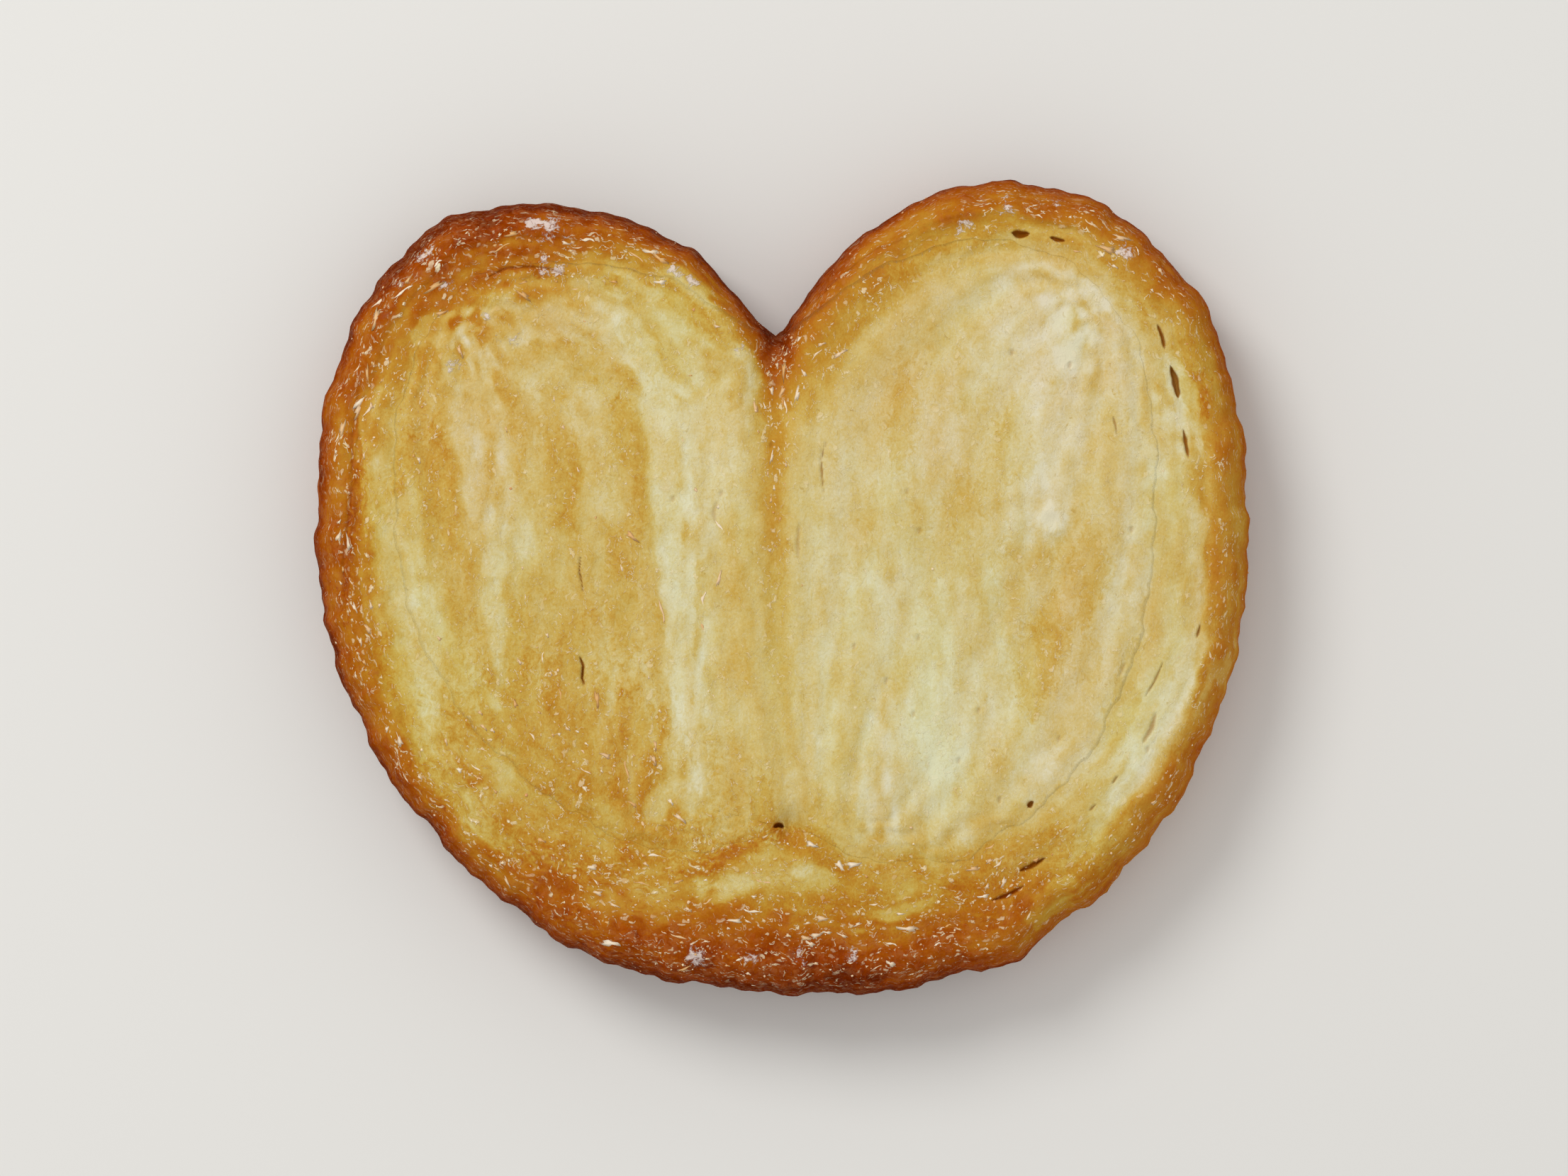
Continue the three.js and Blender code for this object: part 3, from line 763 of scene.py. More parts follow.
# %% Warmth
WARM = [  # middle, half lengths, tilt, warmth
    ((-24.0, 19.0), (9.0, 8.0), 0, 0.5),
    ((-25.0, 8.0), (4.0, 6.0), 0, 0.3),
    ((10.5, 15.0), (5.0, 7.0), 0, 0.4),
    ((26.0, 18.0), (4.0, 6.0), 0, 0.3),
    ((23.5, -4.0), (3.0, 6.0), 0, 0.5),
    ((35.8, 0.0), (1.8, 13.0), 0, 1.0),
    ((32.6, -13.0), (1.6, 9.0), -28, 1.3),
    ((14.0, 26.0), (12.0, 3.0), 0, 0.25),
    ((10.0, -22.0), (9.0, 3.0), 0, 0.3),
    ((-17.0, -25.0), (4.0, 3.0), -30, 0.4),
    ((-9.0, 22.0), (6.0, 5.0), -30, -0.5),
    ((-31.0, -10.0), (6.0, 14.0), 15, -0.6),
    ((-22.5, -6.0), (2.0, 9.0), 0, -0.4),
    ((-8.6, 3.0), (2.0, 13.0), 0, -0.5),
    ((11.0, -9.0), (8.0, 11.0), 0, -0.6),
    ((30.0, -12.0), (3.5, 10.0), -30, -0.7),
    ((31.5, 8.0), (2.0, 8.0), 0, -0.4),
    ((0.0, -23.3), (6.0, 2.2), 5, -0.4),
    ((10.0, -26.8), (4.0, 1.5), 10, -0.7),
]
leaning = sum(by * patch_share(middle, halves, tilt, 0.35) for middle, halves, tilt, by in WARM)
warmth = 0.44 + 0.5 * leaning
warmth = np.clip(warmth + 0.07 * clouds + 0.05 * daubs, 0, 1)

# %% [markdown]
# Whitish scabs lie on the crust, most of them along the rim: partly melted sugar that has set, and partly
# painted highlights of glossy caramel ridges. They are torn patches too, so they are made like the strokes.

# %% Scabs of sugar, and painted highlights
SCABS_AND_HIGHLIGHTS = [  # x, y, half width
    (-20.2, 29.4, 0.7), (-18.9, 29.0, 1.1), (-17.4, 28.6, 0.8), (-19.2, 26.6, 0.6), (-18.0, 26.0, 0.5),
    (-8.8, 25.9, 0.8), (-7.4, 24.8, 0.7), (-3.6, 19.6, 0.6), (-24.2, 21.8, 0.3), (-23.0, 20.9, 0.4),
    (-21.8, 20.4, 0.3), (-26.5, 18.4, 0.3), (14.6, 29.8, 0.6), (18.3, 31.1, 0.7), (22.3, 31.1, 0.6),
    (27.8, 27.2, 0.6), (1.3, -30.1, 0.8), (5.6, -30.1, 0.7), (-2.5, -30.1, 0.6), (-7.0, -29.9, 0.6),
    (-29.0, 27.1, 0.6), (-31.3, 24.8, 0.5), (-27.6, 24.6, 0.5), (-17.2, -4.9, 0.4),
]
scab = np.zeros(len(place))
for x, y, size in SCABS_AND_HIGHLIGHTS:
    away = np.linalg.norm(place - (x, y), axis=1) + 0.2 * daubs + 0.2 * wisps
    scab = np.maximum(scab, 0.85 * soft_edge(away, size, 0.25) * on_face)

# %% [markdown]
# Sugar and shreds of dough lie thickly where the crust is brown and along the seam, and thinly at the very
# edge. The crust is craggy at its edge, most of all low on the right, and the layers stand out least where
# the ends of a roll's core crowd them.

# %% Where sugar and shreds lie, and where the skin is rough
FLAKY = [  # middle, half lengths, tilt
    ((-24.0, 19.0), (7.0, 5.0), 0),
    ((-16.0, -17.0), (11.0, 6.0), -25),
    ((0.0, -25.5), (20.0, 4.0), 0),
    ((-17.0, 2.0), (12.0, 18.0), 0),
]
CRAGGY = [
    dict(at=314, by=0.6, spread=22),
    dict(at=60, by=0.15, spread=20),
]
baked = np.clip((brown + gold * gold_by - pale * pale_by - 0.4) / 0.2, 0, 1)
standing = np.clip((height - 1.2) / 2, 0, 1)
sugar = np.clip((0.01 + 0.3 * baked) * (1 + 0.6 * clouds), 0, 1) * standing
sugar = sugar * (0.15 + 0.85 * soft_edge(-inset, -0.8, 0.2))
right_rim = bulge(around, 356, 1.0, 34, 4.0)
flaky = 0.75 * baked * soft_edge(-inset, -1.2, 0.25) * (1 - 0.9 * right_rim)
flaky = flaky + sum(0.11 * patch_share(*given) for given in FLAKY)
flaky = flaky + 0.8 * soft_edge(off_seam, 1.2, 0.3) * (share_up > 0.4)
flaky = np.clip(flaky * (1 + 0.6 * clouds), 0, 1) * on_face * (0.08 + 0.92 * soft_edge(-inset, -0.9, 0.2))
outermost = soft_edge(inset, 0.9, 0.25)
relief = np.clip((height - 0.8) / 2.0, 0, 1)
crag = (0.12 + bulges(around, CRAGGY)) * relief
crag = crag * np.exp(-np.maximum(inset, 0) / 1.2)
core_ends = [end for shape in ROLLS.values() for end in shape["core"]]
at_core_end = sum(patch_share(end, (5.0, 4.0), 0, 0.3) for end in core_ends)
ridges = streaky * (0.6 * daubs + 0.6 * wisps) * (1 - 0.8 * np.clip(at_core_end, 0, 1))
rolled = on_face * ((layer > 0) | (off_seam < 0.6))
shares = {"sugar": (sugar > 0.1).mean().round(2), "shreds": (flaky > 0.1).mean().round(2)}
print("share of the points that have", shares)

# %% [markdown]
# ## Make the mesh
# The numbers go into a mesh with named attributes: browning, the place in the layers, the direction the
# layers run in, and how thickly sugar lies. Attributes travel with the points through every later step.

# %% The pastry's mesh
def add_attribute(mesh, name, kind, values):
    made = mesh.attributes.new(name, kind, "POINT")
    field = "vector" if kind == "FLOAT_VECTOR" else "value"
    made.data.foreach_set(field, np.ravel(values).astype(np.float32))


def object_from(name, mesh):
    made = bpy.data.objects.new(name, mesh)
    bpy.context.scene.collection.objects.link(made)
    return made


mesh = bpy.data.meshes.new("pastry")
mesh.from_pydata((solid * MM).tolist(), [], polygons)
NUMBERS = {
    "brown": brown,
    "pale": pale,
    "pale_by": pale_by,
    "gold": gold,
    "gold_by": gold_by,
    "warmth": warmth,
    "sugar": sugar,
    "flaky": flaky,
    "relief": relief,
    "crag": crag,
    "ridges": ridges,
    "scab": scab,
    "outermost": outermost,
    "rolled": rolled,
}
for name, values in NUMBERS.items():
    add_attribute(mesh, name, "FLOAT", values)
add_attribute(mesh, "flow", "FLOAT_VECTOR", flow)
add_attribute(mesh, "grain", "FLOAT_VECTOR", tangent)
mesh.shade_smooth()
pastry = object_from("pastry", mesh)
check = bmesh.new()
check.from_mesh(mesh)
print("edges that don't close:", sum(len(edge.link_faces) != 2 for edge in check.edges))
check.free()

# %% [markdown]
# ## Node trees written as sums
# Both Geometry Nodes and materials are networks of sums, and they read best as sums. The small class below
# wraps a socket, and Python's own signs then add the Math nodes: `mask * 0.5 + 1` is two nodes. One method
# makes every other kind of node.

# %% Wires and nets
class Wire:
    """A value on its way through a node tree, which Python's signs can work on."""

    def __init__(self, net, socket):
        self.net, self.socket = net, socket

    def __add__(self, other):
        return self.net.calc("ADD", self, other)

    def __sub__(self, other):
        return self.net.calc("SUBTRACT", self, other)

    def __rsub__(self, other):
        return self.net.calc("SUBTRACT", other, self)

    def __mul__(self, other):
        return self.net.calc("MULTIPLY", self, other)

    __radd__, __rmul__ = __add__, __mul__

    def step(self, low, high):
        """0 below low, 1 above high, smooth between."""
        given = {"Value": self, "From Min": low, "From Max": high}
        return self.net.node("ShaderNodeMapRange", {"interpolation_type": "SMOOTHSTEP"}, given)


class Net:
    """A node tree, with one method for all its nodes."""

    def __init__(self, tree):
        self.tree = tree

    def put(self, node, sockets):
        for name, value in sockets.items():
            target = node.inputs[name]
            if isinstance(value, Wire):
                self.tree.links.new(value.socket, target)
            else:
                target.default_value = value

    def node(self, kind, settings=None, sockets=None, output=0):
        made = self.tree.nodes.new(kind)
        for name, value in (settings or {}).items():
            if name == "stops":
                set_stops(made.color_ramp, value)
            else:
                setattr(made, name, value)
        self.put(made, sockets or {})
        return Wire(self, made.outputs[output])

    def calc(self, operation, first, second):
        return self.node("ShaderNodeMath", {"operation": operation}, {0: first, 1: second})

    def vector(self, operation, first, second):
        return self.node("ShaderNodeVectorMath", {"operation": operation}, {0: first, 1: second})

    def scaled(self, vector, size):
        return self.node("ShaderNodeVectorMath", {"operation": "SCALE"}, {0: vector, "Scale": size})

    def noise(self, vector, scale, detail=3.0, rough=0.55, output=0):
        given = {"Vector": vector, "Scale": scale, "Detail": detail, "Roughness": rough}
        return self.node("ShaderNodeTexNoise", {}, given, output)

    def stretched(self, vector, scales, **more):
        return self.noise(self.vector("MULTIPLY", vector, scales), 1.0, **more)


def set_stops(ramp, stops):
    while len(ramp.elements) < len(stops):
        ramp.elements.new(0.5)
    for element, (at, colour) in zip(ramp.elements, stops):
        element.position, element.color = at, colour


# %% Geometry Nodes from the script
class ShapeNet(Net):
    """A Geometry Nodes tree with a mesh going in and out, and one named number for each size."""

    def __init__(self, name, sizes):
        super().__init__(bpy.data.node_groups.new(name, "GeometryNodeTree"))
        for way in ("INPUT", "OUTPUT"):
            self.tree.interface.new_socket("Geometry", in_out=way, socket_type="NodeSocketGeometry")
        self.sizes = sizes
        for size in sizes:
            self.tree.interface.new_socket(size, in_out="INPUT", socket_type="NodeSocketFloat")
        self.inputs = self.tree.nodes.new("NodeGroupInput").outputs

    def given(self, name):
        return Wire(self, self.inputs[name])

    def attribute(self, name, kind="FLOAT"):
        return self.node("GeometryNodeInputNamedAttribute", {"data_type": kind}, {"Name": name})

    def chance(self, seed):
        """A number between 0 and 1, drawn for each point."""
        limits = {2: 0.0, 3: 1.0, "Seed": seed}
        return self.node("FunctionNodeRandomValue", {"data_type": "FLOAT"}, limits, output=1)

    def result(self, geometry):
        self.put(self.tree.nodes.new("NodeGroupOutput"), {"Geometry": geometry})

    def run(self, source, name):
        """Runs the tree on an object, and gives the result back as a plain new object."""
        modifier = source.modifiers.new(name, "NODES")
        modifier.node_group = self.tree
        for item in self.tree.interface.items_tree:
            if item.name in self.sizes:
                modifier[item.identifier] = self.sizes[item.name]
        bpy.context.view_layer.update()
        graph = bpy.context.evaluated_depsgraph_get()
        shaped = source.evaluated_get(graph)
        mesh = bpy.data.meshes.new_from_object(shaped, preserve_all_data_layers=True, depsgraph=graph)
        source.modifiers.remove(modifier)
        return object_from(name, mesh)


# %% [markdown]
# ## Thin layers, by Geometry Nodes
# Every layer of puff pastry stands a little higher or lower than its neighbour, blisters rise in it, and
# the crust is puckered where it shrank. Modelling them one by one would take hundreds of shapes, and a
# picture of them would lie flat. A Geometry Nodes tree does it with a rule instead: it lifts every point
# along its normal by the sum of three heights. The puckers run up the side, so their noise is stretched
# upwards.

# %% Lift the layers
HEIGHTS = {"Ridge Height": 0.045 * MM, "Blister Height": 0.30 * MM, "Pucker Height": 0.9 * MM}
puffs = ShapeNet("puffed layers", HEIGHTS)
spot = puffs.node("GeometryNodeInputPosition")
blister = puffs.noise(spot, 0.7 / MM, detail=3.0, rough=0.6) - 0.5
upwards = puffs.vector("MULTIPLY", spot, (1, 1, 0.3))
pucker = puffs.noise(upwards, 0.55 / MM, detail=4.0, rough=0.62) - 0.5
lift = puffs.attribute("ridges") * puffs.given("Ridge Height") + blister * puffs.given("Blister Height")
lift = lift * puffs.attribute("relief") + pucker * puffs.given("Pucker Height") * puffs.attribute("crag")
offset = puffs.scaled(puffs.node("GeometryNodeInputNormal"), lift)
moved = {"Geometry": puffs.given("Geometry"), "Offset": offset}
puffs.result(puffs.node("GeometryNodeSetPosition", {}, moved))
puffed = puffs.run(pastry, "pastry_skin")
bpy.data.objects.remove(pastry)
print("puffed:", len(puffed.data.vertices), "points")

# %% [markdown]
# ## Cracks and holes
# Here and there the layers have parted, and bubbles have burst. These are finer than the mesh, so the mesh
# is divided again just around them, and only then are they cut in: each crack is a short line that runs
# with the layers and is pointed at both ends, with a half width and a depth.

# %% Where the cracks and holes are
CRACKS = [
    # over the left roll, and down its side
    ([(-24.0, 25.2), (-22.4, 26.0), (-20.4, 26.1), (-18.8, 25.9), (-17.5, 25.4)], 0.13, 0.16),
    ([(-34.2, 17.6), (-34.9, 13.0), (-35.0, 8.0), (-35.7, 1.7), (-35.6, -2.8)], 0.14, 0.14),
    # inside the right rim
    ([(30.4, 21.4), (30.8, 20.4), (31.0, 19.4)], 0.15, 0.35),
    ([(31.5, 18.0), (31.9, 16.8), (32.1, 15.4)], 0.24, 0.6),
    ([(32.5, 12.9), (32.7, 11.8), (32.9, 10.6)], 0.15, 0.35),
    ([(26.8, 13.9), (27.0, 13.2), (27.1, 12.5)], 0.12, 0.2),
    # at the top of the right roll
    ([(18.6, 28.9), (19.3, 28.7), (20.0, 28.8)], 0.26, 0.6),
    ([(21.7, 28.5), (22.3, 28.3), (22.9, 28.2)], 0.16, 0.4),
    # beside the seam, and in the left roll
    ([(3.5, 11.8), (3.1, 10.4), (3.2, 9.0), (3.3, 7.7)], 0.10, 0.22),
    ([(1.4, 5.2), (1.2, 3.8), (1.3, 2.2)], 0.22, 0.14),
    ([(-16.4, 2.6), (-16.5, 1.4), (-16.3, 0.4), (-16.2, -0.4)], 0.08, 0.25),
    ([(-16.5, -5.5), (-16.2, -6.4), (-16.3, -7.4), (-16.0, -8.2)], 0.11, 0.4),
    ([(-5.3, 7.0), (-5.6, 6.1), (-5.4, 5.1)], 0.22, 0.14),
    ([(-0.9, 11.9), (-1.0, 11.3)], 0.2, 0.15),
    # low on the right
    ([(19.2, -23.1), (20.2, -22.7), (21.3, -22.0)], 0.2, 0.4),
    ([(17.0, -25.5), (18.2, -25.1), (19.6, -24.3)], 0.16, 0.35),
    ([(30.9, -6.0), (30.2, -7.6), (29.4, -8.9)], 0.11, 0.2),
    ([(33.9, -3.0), (33.6, -4.1)], 0.12, 0.25),
    ([(30.3, -10.2), (29.9, -11.5), (29.2, -12.7)], 0.25, 0.2),
    ([(27.2, -15.3), (26.7, -16.0)], 0.12, 0.2),
    ([(25.4, -17.6), (24.9, -18.2)], 0.12, 0.2),
    ([(27.8, -6.1), (27.3, -7.3)], 0.16, 0.15),
    ([(19.9, -17.9), (20.3, -17.4)], 0.24, 0.5),
    ([(-0.75, -19.5), (-0.35, -19.35), (0.05, -19.5)], 0.26, 0.7),  # the junction
]
PORES = [
    (11.1, 4.6), (11.0, -4.1), (5.8, -4.8), (8.4, -7.6), (10.6, -10.3), (15.9, -10.0), (28.3, 4.7),
    (23.3, 18.1), (18.6, 19.1), (17.6, -17.3), (14.3, -14.1), (-8.9, 7.2), (-5.0, 7.6), (10.1, 7.8),
    (22.4, -12.3), (29.6, -13.2),
]
PORE_LEAN, PORE_LENGTH, PORE_HALF, PORE_DEPTH = 0.12, 0.6, 0.2, 0.14
for x, y in PORES:
    ends = [(x + side * PORE_LEAN / 2, y + side * PORE_LENGTH / 2) for side in (-1, 1)]
    CRACKS.append((ends, PORE_HALF, PORE_DEPTH))
RAGGED, RAGGED_TURNS = 0.5, 1.7  # how ragged the walls of a crack are, and how many turns to a millimetre


def crack_depth(place):
    """How deep the cracks are at each place."""
    deepest = np.zeros(len(place))
    for points, half, deep in CRACKS:
        points = np.array(points, float)
        middle, length = points.mean(0), np.linalg.norm(points[-1] - points[0])
        close = np.flatnonzero(np.linalg.norm(place - middle, axis=1) < length + 1)
        spot = place[close]
        off, along = line_at(spot, points)
        narrow = pointed(along, 0.2)
        turns = spot * RAGGED_TURNS
        ragged = np.array([1 + RAGGED * noise.noise((x, y, 0.5)) for x, y in turns]).reshape(-1)
        away = off / (half * narrow * ragged)
        deepest[close] = np.maximum(deepest[close], deep * np.sqrt(narrow) * np.exp(-(away**2.5)))
    return deepest


# %% Divide the mesh around them, and cut them in
NEAR = 0.5
skin = bmesh.new()
skin.from_mesh(puffed.data)
upper = [vertex for vertex in skin.verts if vertex.co.z > BELLY_HEIGHT * MM]
places = np.array([vertex.co[:2] for vertex in upper]) / MM
near = np.min([line_at(places, points)[0] - half for points, half, _ in CRACKS], axis=0) < NEAR
close = {vertex for vertex, is_near in zip(upper, near) if is_near}
edges = [edge for edge in skin.edges if edge.verts[0] in close and edge.verts[1] in close]
bmesh.ops.subdivide_edges(skin, edges=edges, cuts=2, use_grid_fill=True)
bmesh.ops.triangulate(skin, faces=skin.faces[:])
crack_layer = skin.verts.layers.float.new("crack")
upper = [vertex for vertex in skin.verts if vertex.co.z > BELLY_HEIGHT * MM]
depths = crack_depth(np.array([vertex.co[:2] for vertex in upper]) / MM)
for vertex, cut in zip(upper, depths):
    vertex.co.z -= cut * MM
    vertex[crack_layer] = cut
skin.to_mesh(puffed.data)
skin.free()
print("cut:", len(puffed.data.polygons), "triangles,", int((depths > 0.1).sum()), "points in cracks")

# %% [markdown]
# The relief has moved the skin in and out by a tenth of a millimetre or so. A last stretch makes its box
# the solid's box again, less the little that the sugar and the flakes will stand out.

# %% Fit the pastry to the solid
STAND_OUT = 0.08 * MM


def fit_to(piece, low, high):
    points = np.empty(len(piece.data.vertices) * 3, np.float32)
    piece.data.vertices.foreach_get("co", points)
    points = points.reshape(-1, 3)
    was_low, was_high = points.min(0), points.max(0)
    points = low + (points - was_low) * ((high - low) / (was_high - was_low))
    piece.data.vertices.foreach_set("co", points.astype(np.float32).ravel())
    piece.data.update()
    return was_low / MM, was_high / MM


low, high = (np.array(corner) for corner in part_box("palmier"))
out = np.array([STAND_OUT, STAND_OUT, 0])
was = fit_to(puffed, low + out, high - out - np.array([0, 0, STAND_OUT]))
print("before the stretch:", [corner.round(2) for corner in was])

# %% [markdown]
# ## The pastry's finish
# One ramp turns browning into colour, from pale dough through straw and gold to caramel. Before that, the
# material adds to the browning what is too fine for the mesh: patches and threads along the layers, and a
# mottling. A little gloss lies on the crust where the sugar has melted.

# %% A finish, and colours as a screen shows them
class Finish(Net):
    """A material with a Principled shader. Values that are the same all over are given when it is made."""

    def __init__(self, name, **fixed):
        self.material = bpy.data.materials.new(name)
        self.material.use_nodes = True
        super().__init__(self.material.node_tree)
        self.shader = self.tree.nodes["Principled BSDF"]
        self.surface(**fixed)

    def surface(self, **sockets):
        self.put(self.shader, {socket.replace("_", " "): value for socket, value in sockets.items()})

    def attribute(self, name, output="Fac"):
        return self.node("ShaderNodeAttribute", {"attribute_name": name}, output=output)

    def mix(self, share, first, second, blend="MIX"):
        settings = {"data_type": "RGBA", "blend_type": blend}
        return self.node("ShaderNodeMix", settings, {0: share, 6: first, 7: second}, output=2)

    def between(self, share, first, second):
        return self.node("ShaderNodeMix", {"data_type": "FLOAT"}, {0: share, 2: first, 3: second})

    def bump(self, height, strength, distance):
        return self.node("ShaderNodeBump", {}, {"Height": height, "Strength": strength, "Distance": distance})


def srgb(red, green, blue):
    """A colour as a screen shows it, from 0 to 255, turned into the light that Blender reckons with."""
    shares = [value / 255 for value in (red, green, blue)]
    return tuple(v / 12.92 if v <= 0.04045 else ((v + 0.055) / 1.055) ** 2.4 for v in shares) + (1.0,)


# %% The pastry's colours and patterns
BAKED = [
    (0.00, srgb(221, 212, 178)),
    (0.14, srgb(214, 199, 150)),
    (0.28, srgb(207, 183, 114)),
    (0.42, srgb(199, 164, 78)),
    (0.55, srgb(188, 138, 47)),
    (0.68, srgb(175, 106, 22)),
    (0.80, srgb(157, 77, 8)),
    (0.90, srgb(136, 54, 2)),
    (1.00, srgb(100, 31, 1)),
]
COOLER, WARMER = (0.975, 1.045, 1.0, 1.0), (1.025, 0.955, 1.06, 1.0)
BLOTCHED, WASHED = srgb(188, 76, 12), srgb(206, 146, 92)
# The second colour is partly set sugar and partly a painted highlight.
PALE_DOUGH, SET_SUGAR_AND_HIGHLIGHT = srgb(241, 222, 182), srgb(226, 211, 202)
# Painted shade of small slits, and painted shade in the cracks.
SLIT_SHADE, CRACK_SHADE = srgb(222, 204, 160), srgb(188, 136, 76)


class PastryFinish(Finish):
    """The baked dough's finish, with patterns that run with the layers."""

    def __init__(self):
        super().__init__("pastry", Specular_IOR_Level=0.0, Coat_Roughness=0.4)
        self.spot = self.scaled(self.node("ShaderNodeTexCoord", output="Object"), 1 / MM)
        nudge = self.vector("SUBTRACT", self.noise(self.spot, 0.9, detail=2.0, output=1), (0.5, 0.5, 0.5))
        self.torn = self.vector("ADD", self.spot, self.scaled(nudge, 1.6))
        self.torn_flow = self.vector("ADD", self.attribute("flow", "Vector"), self.scaled(nudge, 1.2))
        self.rolled = self.attribute("rolled")
        self.mottle = self.noise(self.torn, 2.3, detail=4.0, rough=0.65)

    def patches(self, across, along, **more):
        """A noise stretched along the layers, or from front to back in the rolls."""
        round_back = self.stretched(self.torn_flow, (across, along, along), **more)
        in_rolls = self.stretched(self.torn, (across, along, across), **more)
        return self.between(self.rolled, round_back, in_rolls)

    def scratches(self, across, along, thin):
        """Thin curls, where a noise crosses its mean, broken up by another noise."""
        off = self.patches(across, along, detail=2.0, rough=0.6) - 0.5
        broken = self.patches(1.4 * across, 1.4 * along, detail=2.0).step(0.53, 0.6)
        return (thin * thin - off * off).step(0.0, 0.7 * thin * thin) * broken

    def flecks(self, across, along, most):
        """Ragged flecks, one to a cell, each of its own size up to a share of the cell."""
        found = []
        ways = [(self.torn_flow, (across, along, along)), (self.torn, (across, along, across))]
        for vector, scales in ways:
            cells = self.vector("MULTIPLY", vector, scales)
            off = self.node("ShaderNodeTexVoronoi", {}, {"Vector": cells, "Scale": 1.0})
            colour = Wire(self, off.socket.node.outputs["Color"])
            chance = self.node("ShaderNodeSeparateColor", {}, {"Color": colour})
            found.append(((chance - 0.5) * (2 * most) - off + (self.mottle - 0.5) * 0.7).step(-0.04, 0.06))
        return self.between(self.rolled, *found)


# %% [markdown]
# Thin layers of colour lie over the baked one: redder blotches and a paler wash on the crust, then pale
# flecks of dough, and whitish scabs that are partly set sugar and partly painted highlights of glossy
# caramel. Last come painted shade in small slits of the pale dough and painted shade in the cracks.

# %% Put the pastry's finish together
def pastry_finish():
    finish = PastryFinish()
    torn, mottle, baked = finish.torn, finish.mottle, finish.attribute("brown")
    broad = finish.patches(0.6, 0.3, detail=5.0, rough=0.65)
    threads = finish.patches(2.4, 0.8, detail=4.0, rough=0.62)
    grit = finish.noise(finish.vector("MULTIPLY", finish.spot, (1.0, 0.7, 1.0)), 6.0, detail=2.0, rough=0.7)

    frayed = (threads - 0.5) * 1.3 + (mottle - 0.5) * 0.6
    pale = (finish.attribute("pale") + frayed).step(0.3, 0.7) * finish.attribute("pale_by")
    gold = (finish.attribute("gold") + frayed).step(0.2, 0.8) * finish.attribute("gold_by")
    uneven = (broad - 0.5) * (0.2 - baked.step(0.4, 0.6) * 0.08) + (threads - 0.5) * 0.2
    uneven = uneven + (mottle - 0.5) * 0.2 + (grit - 0.5) * 0.27
    total = baked - pale + gold + uneven * (1.0 - baked.step(0.45, 0.65) * 0.55)
    crusty = total.step(0.5, 0.8)

    colour = finish.node("ShaderNodeValToRGB", {"stops": BAKED}, {"Fac": total})
    cooler = finish.mix(1.0, colour, COOLER, "MULTIPLY")
    warmer = finish.mix(1.0, colour, WARMER, "MULTIPLY")
    colour = finish.mix(finish.attribute("warmth"), cooler, warmer)
    blotch = finish.noise(torn, 0.9, detail=4.0, rough=0.6).step(0.5, 0.66)
    colour = finish.mix(blotch * crusty * 0.16, colour, BLOTCHED)
    wash = finish.noise(torn, 1.5, detail=5.0, rough=0.7).step(0.47, 0.62)
    colour = finish.mix(wash * crusty * 0.13, colour, WASHED)

    strewn = 0.4 + finish.noise(torn, 0.45, detail=2.0).step(0.4, 0.6) * 0.6
    fleck = finish.flecks(3.8, 1.7, 0.42) * 0.5 + finish.flecks(1.6, 0.8, 0.3) * 0.6
    fleck = fleck + finish.scratches(1.7, 0.8, 0.026) * 0.75
    fleck = fleck * strewn * (0.45 + total.step(0.25, 0.6) * 0.55)
    fleck = fleck * (1.0 - finish.attribute("outermost") * 0.8)
    colour = finish.mix(fleck, colour, PALE_DOUGH)
    # Whitish scabs: set sugar, and painted highlights of glossy caramel ridges.
    scab_and_highlight_share = finish.attribute("scab")
    scab = (scab_and_highlight_share + (finish.noise(torn, 2.0, detail=4.0, rough=0.7) - 0.5) * 2.2).step(0.5, 0.8)
    scab = scab * scab_and_highlight_share.step(0.05, 0.3)
    colour = finish.mix(scab * 0.8, colour, SET_SUGAR_AND_HIGHLIGHT)
    # Painted shade of small slits in the pale dough, too fine for the mesh.
    painted_slit_shade = finish.flecks(3.1, 0.9, 0.24) * (1.0 - total.step(0.34, 0.5)) * strewn
    colour = finish.mix(painted_slit_shade * 0.5, colour, SLIT_SHADE, "MULTIPLY")
    colour = finish.mix(finish.attribute("crack").step(0.03, 0.32), colour, CRACK_SHADE, "MULTIPLY")

    rough = 0.74 - crusty * 0.08 + (mottle - 0.5) * 0.3 - scab * 0.15
    skin = broad * 0.3 + threads * 0.4 + mottle * 0.3 + grit * 0.12 + fleck * 0.6 + scab * 0.5
    glazed = crusty * mottle.step(0.45, 0.6) * 0.12
    bumped = finish.bump(skin, 0.65, 0.2 * MM)
    finish.surface(Base_Color=colour, Roughness=rough, Coat_Weight=glazed, Normal=bumped)
    return finish.material


puffed.data.materials.clear()
puffed.data.materials.append(pastry_finish())

# %% [markdown]
# ## Sugar and shreds
# Grains of sugar stick in the crust and in the seam, and thin shreds of dough have lifted off it. A grain
# is a small block with worn corners, and a shred is a bent strip, pointed at both ends, or a torn flake.
# Scattering is what Geometry Nodes are best at: points are spread over the skin, thickly where an attribute
# is high, and each gets a piece turned and sized at random from a fixed seed. The shreds are turned to the
# direction of the layers.

# %% A grain, a shred and a flake
def piece_from(shape, name):
    bmesh.ops.recalc_face_normals(shape, faces=shape.faces[:])
    mesh = bpy.data.meshes.new(name)
    shape.to_mesh(mesh)
    shape.free()
    return object_from(name, mesh)


def grain_of_sugar():
    shape = bmesh.new()
    bmesh.ops.create_cube(shape, size=1.0)
    for i, vertex in enumerate(shape.verts):
        vertex.co = vertex.co * (1 + 0.22 * math.sin(2.3 * i + 1))
    bmesh.ops.bevel(shape, geom=shape.edges[:], offset=0.18, segments=1, affect="EDGES")
    return piece_from(shape, "grain")


